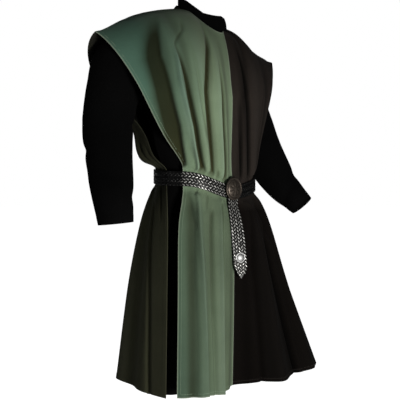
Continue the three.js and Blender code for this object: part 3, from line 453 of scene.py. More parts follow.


# Woven cloth: twill ribs and short fibres on the cloth's own measure, uneven dye, painted
# shade in the hollows of the folds and painted highlights on their crests and along the
# edges, light and shade painted in by height for shoulder, bodice and skirt, a painted
# bluish shade towards the wearer's right, and a line of stitches inside each hem.
def clothMaterial(name, look):
    material, tree, shader = newMaterial(name)
    place = addNode(tree, "ShaderNodeTexCoord").outputs["Object"]
    clothPlace = addNode(tree, "ShaderNodeUVMap", uv_map="cloth").outputs[0]
    axes = addNode(tree, "ShaderNodeSeparateXYZ", {0: place}).outputs

    fold = attribute(tree, "fold")
    # Painted shade in the folds' hollows, and a painted highlight on their crests.
    hollow = ranged(tree, fold, (0.0, -1.0), (0.0, 1.0))
    crestHighlight = ranged(tree, fold, (clothGrain["crestFrom"], 1.0), (0.0, clothGrain["crestMost"]))
    shaded = colourMix(tree, hollow, colour4(look["colour"]), colour4(look["shade"]))
    folded = colourMix(tree, crestHighlight, shaded, colour4(look["worn"]))

    dye = noise(tree, place, clothGrain["dye"])
    fibres = noise(tree, clothPlace, clothGrain["fibres"])
    ribScale = diagonalWave / (look["weave"] * metre)
    twill = addNode(
        tree, "ShaderNodeTexWave", {"Vector": clothPlace, "Scale": ribScale, **clothGrain["twill"]},
        wave_type="BANDS", bands_direction="DIAGONAL",
    ).outputs["Fac"]
    dyeTone = ranged(tree, dye, noiseRange, clothGrain["dyeTone"])
    fibreTone = ranged(tree, fibres, noiseRange, clothGrain["fibreTone"])
    twillTone = ranged(tree, twill, (0.0, 1.0), clothGrain["twillTone"])
    woven = calculated(tree, "MULTIPLY", calculated(tree, "MULTIPLY", dyeTone, fibreTone), twillTone)
    # Light and shade painted in by height.
    wovenAndHeightLit = calculated(tree, "MULTIPLY", woven, paintedLightByHeight(tree, axes[2], look))

    # A painted bluish shade towards the wearer's right.
    sideways = ranged(tree, axes[0], paintedLightReach["side"], (1.0, 0.0))
    tint = colourMix(tree, sideways, (1, 1, 1, 1), colour4(look["sideLightTint"]))
    sideLit = addNode(tree, "ShaderNodeVectorMath", {0: folded, 1: tint}, operation="MULTIPLY").outputs[0]
    dyedAndLit = addNode(tree, "ShaderNodeVectorMath", {0: sideLit, "Scale": wovenAndHeightLit}, operation="SCALE").outputs[0]
    thread = stitches(tree, clothPlace)
    stitched = colourMix(tree, thread, dyedAndLit, colour4(look["worn"]))
    # A painted highlight along the edges.
    edgeHighlight = calculated(tree, "MULTIPLY", attribute(tree, "edge"), look["edgeHighlight"])

    ribs = calculated(tree, "ADD", calculated(tree, "MULTIPLY", fibres, clothGrain["fibreRise"]), twill)
    raised = calculated(tree, "ADD", ribs, thread)
    weaveBump = bump(tree, raised, clothGrain["bump"], clothGrain["weaveDepth"])
    rumple = noise(tree, place, clothGrain["rumple"])
    feed(tree, shader, {
        "Base Color": colourMix(tree, edgeHighlight, stitched, colour4(look["rubbed"])),
        "Roughness": look["roughness"],
        "Sheen Weight": look["sheen"],
        "Sheen Roughness": clothGrain["sheenRoughness"],
        "Specular IOR Level": look["shine"],
        "Normal": bump(tree, rumple, clothGrain["bump"], clothGrain["rumpleDepth"], Normal=weaveBump),
    })
    return material


cloths = {name: clothMaterial(name, look) for name, look in clothLooks.items()}
print("cloth finishes ready")


# Dresses a finished piece: its finish, the body it rides on and the solid it stands for.
def dress(piece, material, node):
    piece.data.materials.append(material)
    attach(piece, "root")
    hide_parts(node)
    print(piece.name, len(piece.data.polygons), "faces")


# Surcoat.
neck = {"halfWidth": 70, "front": 88, "back": 62, "frontZ": -69, "sideZ": -23, "backZ": 14, "tilt": 0.2}
shoulders = {
    toRight: {"x": [70, 130, 210, 270, 366], "z": [-9, -17, -38, -63, -109]},
    toLeft: {"x": [70, 110, 160, 205, 314], "z": [-37, -53, -77, -95, -112]},
}
surcoat = {
    "wall": 2.0,
    "neckShare": 7 / 22,        # of a half panel's top, the rest being shoulder
    "handle": 0.42,             # how far a section's curve leaves its ends straight
    "curvePoints": 240,         # on a section, before it is read at equal distances
    "columns": 140,
    "rowsPerLevel": [54, 26, 20, 12, 12, 12, 20, 34, 40],
    "relaxRounds": 6,
    "slopeShare": 0.74,         # the way over the shoulder that sets the slope at the chest
    "beltLevel": 4.5,
    "foldsFull": 0.8,           # the level by which the bodice's folds are full
    "pressed": 0.1,             # what the belt leaves of them
    "pressLevels": (2.6, 4.3),
    "calm": 0.07,               # folds fade out this close to the centre seam
    "creaseFade": 0.5,          # levels over which a crease comes and goes
    "hemRise": 0.5,
    "hemFade": (11, 15),        # where the turned hem ends, from the edge
    # The paler line along the edges is a painted highlight.
    "rimFade": (0.5, 3.5),      # and the paler line where the edges are rubbed
    "neckDrop": 32,             # how far the front neck edge lies down the right shoulder
    "neckDropEnd": (0.86, 1),   # where that ends, in shares of the way round the neck
    "neckReach": 150,
}
roundness = {
    toRight: {"at": [0, 0.35, 0.75, 1], "value": [0.45, 0.95, 0.9, 0.6]},
    toLeft: {"at": [0, 0.35, 0.84, 1], "value": [0.45, 0.95, 0.9, 0.25]},
}

# Sections from chest to hem: the middle and the free edge of each, and the turn of the
# cloth at that edge, in degrees. Rows: chest, ribs, blouse, belt top, belt foot, below
# belt, hip, thigh, hem.
frontRightCut = {
    "midY": [-140, -138, -134, -126, -126, -133, -142, -148, -147],
    "midZ": [-250, -370, -458, -484, -530, -558, -625, -780, -1028],
    "edgeX": [279, 190, 148, 138, 138, 150, 170, 190, 215],
    "edgeY": [-65, -62, -74, -75, -75, -84, -92, -111, -134],
    "edgeZ": [-245, -370, -432, -452, -494, -528, -605, -765, -1020],
    "turn": [40, 50, 55, 48, 48, 52, 55, 54, 52],
}
frontLeftCut = {
    "midY": [-140, -138, -134, -126, -126, -133, -142, -148, -147],
    "midZ": [-250, -370, -458, -484, -530, -558, -625, -780, -1028],
    "edgeX": [225, 183, 150, 138, 138, 155, 182, 232, 306],
    "edgeY": [-65, -62, -74, -75, -75, -86, -98, -120, -174],
    "edgeZ": [-245, -370, -440, -463, -506, -536, -605, -760, -1008],
    "turn": [45, 50, 55, 48, 48, 50, 48, 42, 36],
}
backRightCut = {
    "midY": [122, 128, 136, 102, 102, 116, 142, 170, 200],
    "midZ": [-200, -320, -408, -433, -479, -510, -600, -765, -1010],
    "edgeX": [246, 190, 184, 161, 161, 172, 188, 214, 241],
    "edgeY": [146, 40, -12, -37, -37, -50, -70, -96, -121],
    "edgeZ": [-215, -330, -412, -450, -492, -522, -604, -765, -1018],
    "turn": [10, 84, 112, 77, 77, 80, 88, 92, 95],
}
backLeftCut = {
    "midY": [122, 128, 132, 102, 102, 116, 142, 170, 200],
    "midZ": [-200, -320, -408, -433, -479, -510, -600, -765, -1010],
    "edgeX": [236, 186, 176, 161, 161, 176, 203, 254, 322],
    "edgeY": [148, 42, -10, -37, -37, -52, -72, -98, -146],
    "edgeZ": [-222, -330, -416, -459, -501, -530, -604, -762, -1010],
    "turn": [10, 60, 80, 77, 77, 80, 84, 82, 84],
}

# Folds: places from the centre seam (0) to the free edge (1), "wide" in the same share,
# "deep" in millimetres, out for a ridge and in for a trough.
greenBodiceFolds = {
    "top": [0, 0.2, 0.24, 0.42, 0.57, 0.6, 0.6],
    "chest": [0, 0.24, 0.36, 0.45, 0.55, 0.63, 0.77],
    "belt": [0, 0.28, 0.46, 0.54, 0.71, 0.75, 1.2],
    "wide": [0.1, 0.06, 0.05, 0.08, 0.05, 0.05, 0.09],
    "deep": [-24, 4, -5, 6, -6, 6, -5],
}
greenSkirtFolds = {
    "belt": [0, 0.3, 0.5, 0.7, 0.9],
    "hem": [0, 0.44, 0.6, 0.7, 0.83],
    "wide": [0.12, 0.1, 0.06, 0.07, 0.06],
    "deep": [-24, 15, -5, 7, -8],
}
charcoalBodiceFolds = {
    "top": [0, 0.3, 0.4, 0.55],
    "chest": [0, 0.16, 0.32, 0.62],
    "belt": [0, 0.5, 0.62, 0.8],
    "wide": [0.1, 0.06, 0.08, 0.07],
    "deep": [-24, -5, 5, -5],
}
charcoalSkirtFolds = {
    "belt": [0, 0.24, 0.55, 0.75],
    "hem": [0, 0.4, 0.62, 0.78],
    "wide": [0.12, 0.1, 0.08, 0.07],
    "deep": [-24, 44, -12, 12],
}
backBodiceFolds = {
    "top": [0.3, 0.4, 0.6, 0.8],
    "chest": [0.2, 0.42, 0.64, 0.82],
    "belt": [0.25, 0.45, 0.7, 0.86],
    "wide": [0.07, 0.08, 0.06, 0.05],
    "deep": [-6, 9, -9, 6],
}
backSkirtFolds = {
    "belt": [0.14, 0.3, 0.45, 0.62, 0.78],
    "hem": [0.16, 0.33, 0.5, 0.66, 0.8],
    "wide": [0.08, 0.08, 0.09, 0.06, 0.07],
    "deep": [16, -14, 18, -11, 9],
}
oliveSkirtFolds = {**backSkirtFolds, "deep": [18, -8, 24, -6, 4]}
# The most that folds may rise at each level, and how the skirt's grow below the belt.
foldLimit = {"at": [0, 0.8, 2.4, 3.4, 4, 5, 6, 7, 9], "value": [0.5, 18, 22, 9, 2, 2, 12, 40, 80]}
skirtGrowth = {"at": [4.5, 6, 7, 8, 9], "value": [0.08, 0.3, 0.55, 0.8, 1]}
# How the painted shade and highlight follow the folds: the height at which they are full on
# bodice and skirt, the levels between the two, and the share of the panel where they start from the seam.
paintedFoldScale = {"bodice": 9, "skirt": 17, "levels": (4.4, 5.4), "fromSeam": (0.06, 0.16)}


# The height of the shoulder at a distance from the neck's axis, by cubics through the
# table's points.
def shoulderZ(side, x):
    table = {key: np.array(values, float) for key, values in shoulders[side].items()}
    last = len(table["x"]) - 1
    k = np.clip(np.searchsorted(table["x"], x, side="left") - 1, 0, last - 1)
    t = (x - table["x"][k]) / (table["x"][k + 1] - table["x"][k])
    z = table["z"]
    return throughFour(z[np.maximum(k - 1, 0)], z[k], z[k + 1], z[np.minimum(k + 2, last)], t)


# The neckline, half an oval for each face, tilted down towards the wearer's left.
def neckLine(side, face, angle, inset):
    depth, midZ = (neck["front"], neck["frontZ"]) if face == toFront else (neck["back"], neck["backZ"])
    x = side * (neck["halfWidth"] - inset) * np.sin(angle)
    y = face * (depth - inset) * np.cos(angle)
    return np.stack([x, y, mix(neck["sideZ"], midZ, np.cos(angle)) - neck["tilt"] * x], -1)


# Level sections as cubic curves that leave the middle sideways and reach the edge turned,
# read at equal distances.
def sectionCurves(side, face, cut, columns):
    rows = {key: np.array(values, float) for key, values in cut.items()}
    turn = np.radians(rows["turn"])
    level = 0 * turn
    mid = np.stack([level, rows["midY"], rows["midZ"]], 1)
    edge = np.stack([side * rows["edgeX"], rows["edgeY"], rows["edgeZ"]], 1)
    reach = surcoat["handle"] * np.hypot(rows["edgeX"], rows["edgeY"] - rows["midY"])[:, None]
    midHandle = mid + np.stack([side + level, level, level], 1) * reach
    edgeHandle = edge + np.stack([-side * np.cos(turn), face * np.sin(turn), level], 1) * reach
    t = np.linspace(0, 1, surcoat["curvePoints"])[None, :, None]
    mid, midHandle, edgeHandle, edge = (part[:, None, :] for part in (mid, midHandle, edgeHandle, edge))
    curves = (
        mid * (1 - t) ** 3 + 3 * midHandle * t * (1 - t) ** 2
        + 3 * edgeHandle * t**2 * (1 - t) + edge * t**3
    )
    return np.stack([evenly(curve, columns) for curve in curves])


# The way from the shoulder seam to the chest: a quarter circle where the shoulder carries
# the cloth, mixed with a straight line by "roundness".
def overShoulder(side, top, chest, share, across):
    arched = np.interp(across, roundness[side]["at"], roundness[side]["value"])
    out = mix(share, np.sin(share * np.pi / 2), arched)
    down = mix(share, 1 - np.cos(share * np.pi / 2), arched)
    return mix(top, chest, np.stack([down, out, down], -1))


# The height of all folds together: bells across the panel, grown from the shoulder or
# from the belt, pressed flat under the belt, and none across the centre seam but its own.
def foldHeight(bodice, skirt, across, level):
    belt, hem = surcoat["beltLevel"], len(surcoat["rowsPerLevel"])
    overBelt = level <= belt
    calm = softStep(across, 0, surcoat["calm"])
    total = 0 * across
    for fold in tableRows(bodice):
        toChest = mix(fold["top"], fold["chest"], level)
        toBelt = mix(fold["chest"], fold["belt"], (level - 1) / (belt - 1))
        ridge = bell(across - np.where(level <= 1, toChest, toBelt), fold["wide"])
        total = total + np.where(overBelt, fold["deep"] * ridge * (calm if fold["belt"] else 1), 0)
    for fold in tableRows(skirt):
        toHem = mix(fold["belt"], fold["hem"], (level - belt) / (hem - belt))
        ridge = bell(across - toHem, fold["wide"])
        total = total + np.where(overBelt, 0, fold["deep"] * ridge * (calm if fold["belt"] else 1))
    bodiceGrowth = np.minimum(1, level / surcoat["foldsFull"])
    bodicePress = mix(1, surcoat["pressed"], softStep(level, *surcoat["pressLevels"]))
    skirtFullness = np.interp(level, skirtGrowth["at"], skirtGrowth["value"])
    return total * np.where(overBelt, bodiceGrowth * bodicePress, skirtFullness)


# Narrow creases: each runs down the panel through (level, place) points, "wide"
# and "deep" in millimetres, and fades at both ends. "outWide" is the width towards the
# free edge where that flank is gentler than the other.
def creaseHeight(creases, acrossMm, width, level):
    total = 0 * acrossMm
    for crease in creases:
        gap = acrossMm - np.interp(level, crease["levels"], crease["places"]) * width
        wide = np.where(gap > 0, crease.get("outWide", crease["wide"]), crease["wide"])
        start, end = crease["levels"][0], crease["levels"][-1]
        fade = crease.get("fade", surcoat["creaseFade"])
        faded = softStep(level, start, start + fade) * (1 - softStep(level, end - fade, end))
        total = total + crease["deep"] * bell(gap, wide) * faded
    return total


# Levels for the rows of a grid, a given number of them from each whole level to the next.
def levelRows(counts):
    rows = [k + np.arange(count) / count for k, count in enumerate(counts)]
    return np.concatenate([*rows, [len(counts)]])


# Lets each column start a little further down its own line and catch up lower down.
def lowerTop(grid, drop, reach):
    _, down = clothDistances(grid)
    at = down + drop * (1 - softStep(down, 0, reach))
    columns = [
        np.stack([np.interp(at[:, n], down[:, n], grid[:, n, axis]) for axis in range(3)], 1)
        for n in range(grid.shape[1])
    ]
    return np.stack(columns, 1)


# The smooth form of a half panel: from the neck and shoulder edge over to the chest, and
# on through the sections to the hem.
def surcoatForm(side, face, cut, across, level):
    share = surcoat["neckShare"]
    aroundNeck = np.minimum(across / share, 1)
    onNeck = neckLine(side, face, aroundNeck * np.pi / 2, 0)
    x = mix(neck["halfWidth"], shoulders[side]["x"][-1], np.clip((across - share) / (1 - share), 0, 1))
    onShoulder = np.stack([side * x, 0 * x, shoulderZ(side, x)], 1)
    top = np.where((across <= share)[:, None], onNeck, onShoulder)
    sections = sectionCurves(side, face, cut, len(across))
    cape = overShoulder(side, top[None], sections[0][None], level[level < 1][:, None], across[None])
    before = overShoulder(side, top, sections[0], surcoat["slopeShare"], across)
    chain = np.concatenate([before[None], sections, sections[-1:]])
    body = throughSections(chain, level[level >= 1] - 1)
    grid = relax(np.concatenate([cape, body]), surcoat["relaxRounds"])
    if side == toRight and face == toFront:
        fade = 1 - softStep(aroundNeck, *surcoat["neckDropEnd"])
        drop = surcoat["neckDrop"] * np.sqrt(np.sin(aroundNeck * np.pi / 2)) * fade
        grid = lowerTop(grid, drop, surcoat["neckReach"])
    return grid


# A half panel of the surcoat: outer and inner grids, with its fold height for the painted
# shade and highlights, the distance from its hems and the painted highlight along its edges.
def surcoatPanel(side, face, cut, bodice, skirt, creases):
    across = np.linspace(0, 1, surcoat["columns"])
    level = levelRows(surcoat["rowsPerLevel"])
    grid = surcoatForm(side, face, cut, across, level)
    onShoulder = across >= surcoat["neckShare"]

    def squaredNormals(points):
        normals = gridNormals(points) * side * face
        normals[:, 0, 0] = 0
        normals[0, onShoulder, 1] = 0
        return unit(normals)

    level, across = np.meshgrid(level, across, indexing="ij")
    acrossMm, downMm = clothDistances(grid)
    width = acrossMm[:, -1:]
    broad = foldHeight(bodice, skirt, across, level)
    fine = creaseHeight(creases, acrossMm, width, level)
    limit = np.interp(level, foldLimit["at"], foldLimit["value"])
    height = limit * np.tanh((broad + fine) / limit)
    edge = np.minimum(width - acrossMm, downMm[-1:] - downMm)
    hem = np.where(onShoulder, edge, np.minimum(edge, downMm))
    rise = surcoat["hemRise"] * (1 - softStep(hem, *surcoat["hemFade"]))
    outer = grid + squaredNormals(grid) * (height + rise)[..., None]
    inner = outer - squaredNormals(outer) * surcoat["wall"]
    for wall in (outer, inner):
        wall[:, 0, 0] += side * seamGap / 2
        wall[0, onShoulder, 1] += face * seamGap / 2
    full = mix(paintedFoldScale["bodice"], paintedFoldScale["skirt"], softStep(level, *paintedFoldScale["levels"]))
    # The fold height, scaled, paints shade into the hollows and a highlight on the crests.
    tone = np.clip(height / full, -1, 1) * softStep(across, *paintedFoldScale["fromSeam"])
    # A painted highlight along the free edges and hems.
    rubbed = 1 - softStep(np.minimum(hem, acrossMm), *surcoat["rimFade"])
    return outer, inner, {"fold": tone, "hem": hem * metre, "edge": rubbed}


# A crease for each row: levels from the shoulder (0) to the hem (9), the places across
# the panel at those levels, its width and its height, hollow where that is below zero.
# A last level past 9 lets the crease run out through the hem.
greenCreases = [
    {"levels": (0.15, 0.33, 0.7, 1.04, 1.73, 2.75, 3.6), "places": (0.62, 0.65, 0.745, 0.76, 0.8, 0.95, 1.05),
     "wide": 9, "outWide": 34, "deep": -17},
    {"levels": (0.45, 0.63, 0.91, 1.73, 3.75, 4.2), "places": (0.6, 0.59, 0.63, 0.63, 0.76, 0.78),
     "wide": 5, "deep": 8},
    {"levels": (0.5, 0.72, 1.0, 1.73, 3.67, 4.2), "places": (0.585, 0.57, 0.565, 0.58, 0.715, 0.735),
     "wide": 5.5, "deep": -18},
    {"levels": (0.35, 0.65, 0.98, 3.17, 4.2), "places": (0.24, 0.267, 0.36, 0.466, 0.5),
     "wide": 4, "outWide": 11, "deep": -14},
    {"levels": (0.6, 0.9, 1.46, 3.67, 4.1), "places": (0.2, 0.215, 0.25, 0.29, 0.3), "wide": 6, "deep": 4},
    {"levels": (0.6, 0.83, 1.69, 3.58, 4.2), "places": (0.16, 0.17, 0.19, 0.2, 0.2),
     "wide": 3.5, "outWide": 9, "deep": -13},
    {"levels": (0.3, 0.48, 0.56, 0.62, 0.8), "places": (0.46, 0.479, 0.545, 0.585, 0.59),
     "wide": 5, "deep": -4, "fade": 0.15},
    {"levels": (0.5, 0.8, 1.3, 2.2), "places": (0.44, 0.45, 0.46, 0.47), "wide": 5, "deep": -6},
    {"levels": (2.6, 3.3, 4.2), "places": (0.62, 0.64, 0.66), "wide": 4, "deep": -4},
    {"levels": (2.8, 4.2), "places": (0.36, 0.38), "wide": 3.5, "deep": -5},
    {"levels": (3.1, 4.2), "places": (0.1, 0.12), "wide": 3.5, "deep": -4},
    {"levels": (5.0, 5.58, 6.8, 7.79, 8.38, 9.6), "places": (0.97, 0.95, 0.79, 0.79, 0.76, 0.78),
     "wide": 9, "outWide": 18, "deep": -8},
    {"levels": (5.2, 6.0, 7.24, 8.12, 9.6), "places": (0.78, 0.744, 0.694, 0.67, 0.6), "wide": 6, "deep": 8},
    {"levels": (6.0, 6.9, 7.97, 8.6, 9.8), "places": (0.5, 0.515, 0.526, 0.51, 0.5), "wide": 4.5, "deep": -7},
    {"levels": (4.8, 5.75, 8.05, 9.6), "places": (0.33, 0.345, 0.418, 0.43), "wide": 5, "deep": 8},
    {"levels": (5.2, 6.35, 8.05, 9.6), "places": (0.29, 0.3, 0.35, 0.36),
     "wide": 3.5, "outWide": 9, "deep": -10},
    {"levels": (4.7, 5.2, 6.4), "places": (0.58, 0.58, 0.6), "wide": 4, "deep": -4},
    {"levels": (4.7, 5.1, 5.9), "places": (0.2, 0.2, 0.19), "wide": 4, "deep": -3},
    {"levels": (4.7, 5.0, 5.7), "places": (0.76, 0.77, 0.8), "wide": 4, "deep": -3},
]
charcoalCreases = [
    {"levels": (0.2, 0.37, 0.81, 1.65, 4.2), "places": (0.11, 0.126, 0.172, 0.249, 0.48),
     "wide": 4.5, "deep": -16},
    {"levels": (0.9, 1.35, 2.25, 3.33, 4.2), "places": (0.08, 0.094, 0.133, 0.178, 0.2),
     "wide": 3.8, "deep": -12},
    {"levels": (0.8, 1.6, 2.8, 4.1), "places": (0.5, 0.52, 0.6, 0.7), "wide": 5, "deep": -5},
    {"levels": (1.8, 2.6, 4.2), "places": (0.3, 0.33, 0.38), "wide": 3, "deep": -4},
    {"levels": (4.7, 5.3, 6.75, 7.38, 9.6), "places": (0.22, 0.26, 0.497, 0.64, 0.66),
     "wide": 9, "deep": 8},
    {"levels": (5.0, 6.0, 7.59, 8.18, 9.6), "places": (0.3, 0.28, 0.22, 0.24, 0.26), "wide": 6, "deep": -8},
    {"levels": (5.6, 6.6, 7.8, 9.6), "places": (0.55, 0.56, 0.58, 0.62), "wide": 5, "deep": -6},
    {"levels": (4.8, 5.5, 6.6), "places": (0.1, 0.1, 0.12), "wide": 4, "deep": -4},
    {"levels": (4.8, 5.6, 7.0), "places": (0.78, 0.8, 0.84), "wide": 4, "deep": -5},
]
backCreases = [
    {"levels": (0.5, 1.2, 2.2, 4.1), "places": (0.14, 0.15, 0.2, 0.28), "wide": 7, "deep": -7},
    {"levels": (0.8, 1.6, 2.8, 4.1), "places": (0.34, 0.36, 0.4, 0.46), "wide": 6, "deep": -6},
    {"levels": (1.2, 2.4, 4.1), "places": (0.56, 0.58, 0.62), "wide": 8, "deep": -7},
    {"levels": (2.3, 3.2, 4.15), "places": (0.76, 0.78, 0.8), "wide": 5, "deep": -6},
    {"levels": (2.3, 3.0, 4.15), "places": (0.86, 0.88, 0.89), "wide": 5, "deep": -6},
    {"levels": (2.5, 3.2, 4.15), "places": (0.95, 0.955, 0.96), "wide": 4, "deep": -5},
    {"levels": (4.8, 5.8, 7.4, 9.6), "places": (0.07, 0.07, 0.08, 0.09), "wide": 7, "deep": -7},
    {"levels": (5.0, 6.2, 7.8, 9.6), "places": (0.38, 0.39, 0.41, 0.42), "wide": 8, "deep": -8},
    {"levels": (6.1, 7.3, 8.28, 9.6), "places": (0.72, 0.77, 0.83, 0.89), "wide": 7, "deep": -8},
    {"levels": (4.8, 5.6, 6.9), "places": (0.86, 0.87, 0.9), "wide": 5, "deep": -5},
    {"levels": (4.8, 5.5, 6.5), "places": (0.56, 0.57, 0.58), "wide": 4, "deep": -4},
]
surcoatPieces = [
    {"name": "surcoat_front_right", "side": toRight, "face": toFront, "cut": frontRightCut,
     "bodice": greenBodiceFolds, "skirt": greenSkirtFolds, "creases": greenCreases, "slot": "green_cloth"},
    {"name": "surcoat_front_left", "side": toLeft, "face": toFront, "cut": frontLeftCut,
     "bodice": charcoalBodiceFolds, "skirt": charcoalSkirtFolds, "creases": charcoalCreases,
     "slot": "charcoal_cloth"},
    {"name": "surcoat_back_right", "side": toRight, "face": toBack, "cut": backRightCut,
     "bodice": backBodiceFolds, "skirt": oliveSkirtFolds, "creases": backCreases, "slot": "olive_cloth"},
    {"name": "surcoat_back_left", "side": toLeft, "face": toBack, "cut": backLeftCut,
     "bodice": backBodiceFolds, "skirt": backSkirtFolds, "creases": backCreases, "slot": "charcoal_cloth"},
]
for part in surcoatPieces:
    outer, inner, fields = surcoatPanel(
        part["side"], part["face"], part["cut"], part["bodice"], part["skirt"], part["creases"]
    )
    piece = makeWall(part["name"] + "_cloth", outer, inner, attributes=fields)
    dress(piece, cloths[part["slot"]], part["name"])
print("surcoat hung")


# Tunic.
tunic = {
    "wall": 1.6,
    "neckInset": 4,
    "underSurcoat": 8,
    "shoulderX": 186,
    "armholeHalfDepth": 72,
    "armholePull": 3,           # power by which the armhole's depth dies out inwards
    "neckShare": 6 / 11,
    "halfColumns": 66,
    "rowsPerLevel": [40, 18, 14, 8, 14, 20, 30],
    "relaxRounds": 3,           # on each half alone
    "seamRounds": 2,            # and over both, across the middle
    "pleatStart": 3.0,
    "pleatFade": 6,             # power by which the pleats die out at the side seams
    "toneDepth": 12,            # a pleat this deep is fully shaded
}
# Rows: underarm, ribs, belt top, belt foot, hip, thigh, hem.
tunicFrontCut = {
    "midY": [-104, -106, -112, -112, -110, -104, -98],
    "midZ": [-250, -370, -464, -530, -625, -780, -1026],
    "edgeX": [186, 170, 150, 150, 166, 184, 204],
    "edgeY": [0, 0, -10, -10, -10, -10, -10],
    "edgeZ": [-240, -370, -448, -500, -605, -765, -1034],
    "turn": [70, 80, 76, 76, 78, 80, 80],
}
tunicBackCut = {
    "midY": [108, 104, 86, 86, 104, 124, 146],
    "midZ": [-240, -350, -428, -488, -600, -765, -1022],
    "edgeX": [186, 170, 150, 150, 166, 184, 204],
    "edgeY": [0, 0, -10, -10, -10, -10, -10],
    "edgeZ": [-240, -370, -448, -500, -605, -765, -1034],
    "turn": [70, 70, 62, 62, 66, 70, 72],
}
# Hollows that hang from the belt to the hem, as shares of a half panel and millimetres.
tunicPleats = {
    "place": [0.12, 0.31, 0.47, 0.63, 0.8, 0.93],
    "wide": [0.05, 0.04, 0.06, 0.035, 0.05, 0.03],
    "deep": [7, 5, 9, 5, 8, 4],
}


# The tunic's neckline all round, which the collar follows: the angle starts at the
# middle of the front and grows towards the wearer's right.
def tunicNeckLine(angle):
    fore = np.cos(angle)
    inset = tunic["neckInset"]
    x = -(neck["halfWidth"] - inset) * np.sin(angle)
    y = -np.where(fore >= 0, neck["front"] - inset, neck["back"] - inset) * fore
    midZ = np.where(fore >= 0, neck["frontZ"], neck["backZ"])
    lowered = tunic["underSurcoat"] * np.abs(np.sin(angle))
    z = mix(neck["sideZ"], midZ, np.abs(fore)) - neck["tilt"] * x - lowered
    return np.stack([x, y, z], -1)


# The smooth form of half a tunic panel: over the shoulder, round the armhole, and down
# through the sections to the hem.
def tunicHalf(side, face, cut, level):
    columns = tunic["halfColumns"] + 1
    across = np.linspace(0, 1, columns)
    share = tunic["neckShare"]
    angle = np.minimum(across / share, 1) * np.pi / 2
    onNeck = neckLine(side, face, angle, tunic["neckInset"])
    onNeck[:, 2] -= tunic["underSurcoat"] * np.sin(angle)
    outward = np.clip((across - share) / (1 - share), 0, 1)
    x = mix(neck["halfWidth"] - tunic["neckInset"], tunic["shoulderX"], outward)
    onShoulder = np.stack([side * x, 0 * x, shoulderZ(side, x) - tunic["underSurcoat"]], 1)
    top = np.where((across <= share)[:, None], onNeck, onShoulder)
    sections = sectionCurves(side, face, cut, columns)
    cape = overShoulder(side, top[None], sections[0][None], level[level < 1][:, None], across[None])
    drop = np.clip((top[:, 2] - cape[..., 2]) / (top[:, 2] - sections[0][:, 2]), 0, 1)
    armhole = tunic["armholeHalfDepth"] * np.sqrt(1 - (2 * drop - 1) ** 2)
    cape[..., 1] += face * armhole * across ** tunic["armholePull"]
    chain = np.concatenate([sections[:1], sections, sections[-1:]])
    body = throughSections(chain, level[level >= 1] - 1)
    return relax(np.concatenate([cape, body]), tunic["relaxRounds"])


# A whole tunic panel: both halves joined in the middle, with hanging pleats, and its
# shoulder, armhole and side edges cut square to meet the other panel and the sleeves.
def tunicPanel(face, cut):
    level = levelRows(tunic["rowsPerLevel"])
    rightHalf, leftHalf = (tunicHalf(side, face, cut, level) for side in (toRight, toLeft))
    smooth = relax(np.concatenate([rightHalf[:, :0:-1], leftHalf], 1), tunic["seamRounds"])
    middle = tunic["halfColumns"]
    place = np.abs(np.arange(2 * middle + 1) - middle) / middle
    onShoulder = place >= tunic["neckShare"]
    armholeRows = (level > 0) & (level < 1)

    def squaredNormals(points):
        normals = gridNormals(points) * face
        normals[0, onShoulder, 1] = 0
        for column in (0, -1):
            normals[armholeRows, column, 0] = 0
            normals[level >= 1, column, 1] = 0
            normals[0, column] = (0, 0, 1)
        return unit(normals)

    pleats = tableRows(tunicPleats)
    hollow = sum(pleat["deep"] * bell(place - pleat["place"], pleat["wide"]) for pleat in pleats)
    hang = softStep(level, tunic["pleatStart"], len(tunic["rowsPerLevel"]))[:, None]
    sunk = hollow * hang * (1 - place ** tunic["pleatFade"])
    outer = smooth - squaredNormals(smooth) * sunk[..., None]
    inner = outer - squaredNormals(outer) * tunic["wall"]
    for wall in (outer, inner):
        wall[0, onShoulder, 1] += face * seamGap / 2
        wall[1:, [0, -1], 1] += face * seamGap / 2
    _, down = clothDistances(outer)
    # The pleats' depth, given as "fold", paints shade into their hollows.
    return outer, inner, {"fold": -hollow * hang / tunic["toneDepth"], "hem": (down[-1:] - down) * metre}


for pieceName, face, cut in (
    ("tunic_front", toFront, tunicFrontCut),
    ("tunic_back", toBack, tunicBackCut),
):
    outer, inner, fields = tunicPanel(face, cut)
    piece = makeWall(pieceName + "_cloth", outer, inner, attributes=fields)
    dress(piece, cloths["black_cloth"], pieceName)


# Sleeves. A row for each ring: its point on the outside of the arm, the one nearest the
# body, and the middle's depth. Rings: cap, biceps, upper arm, and on down to the cuff.
sleeveRight = {
    "outX": [285, 328, 345, 346, 344, 352, 362, 368],
    "outZ": [-84, -142, -215, -285, -345, -405, -485, -586],
    "inX": [194, 197, 199, 206, 212, 230, 250, 280],
    "inZ": [-245, -252, -268, -304, -354, -412, -488, -584],
    "y": [14, 34, 43, 57, 62, 42, 12, -28],
    "flat": [0.88, 0.88, 0.86, 0.92, 1, 1, 1, 1],
    "square": 0.3,
}
sleeveLeft = {
    "outX": [262, 302, 322, 338, 342, 350, 360, 376],
    "outZ": [-130, -178, -228, -300, -362, -414, -478, -540],
    "inX": [194, 197, 199, 208, 220, 240, 268, 308],
    "inZ": [-256, -262, -276, -326, -396, -456, -512, -562],
    "y": [22, 48, 54, 42, 18, -9, -46, -94],
    "flat": [0.84, 0.86, 0.86, 0.94, 1, 1, 1, 1],
    "square": 1,
}
sleeve = {
    "rows": 150, "sides": 112,
    "clear": 2,                 # how far it keeps off the tunic's side
    "clearRate": 13,            # and from what part of its length, one in so many
    "calmHead": 0.06,           # the creases start this far down from the seam
    "slopeStep": 0.01,          # half the step over which its direction is taken
    "cuffRise": 0.5,
    "cuffFade": (19, 24),       # where the turned cuff ends, from the edge
    "toneDepth": 8,
}
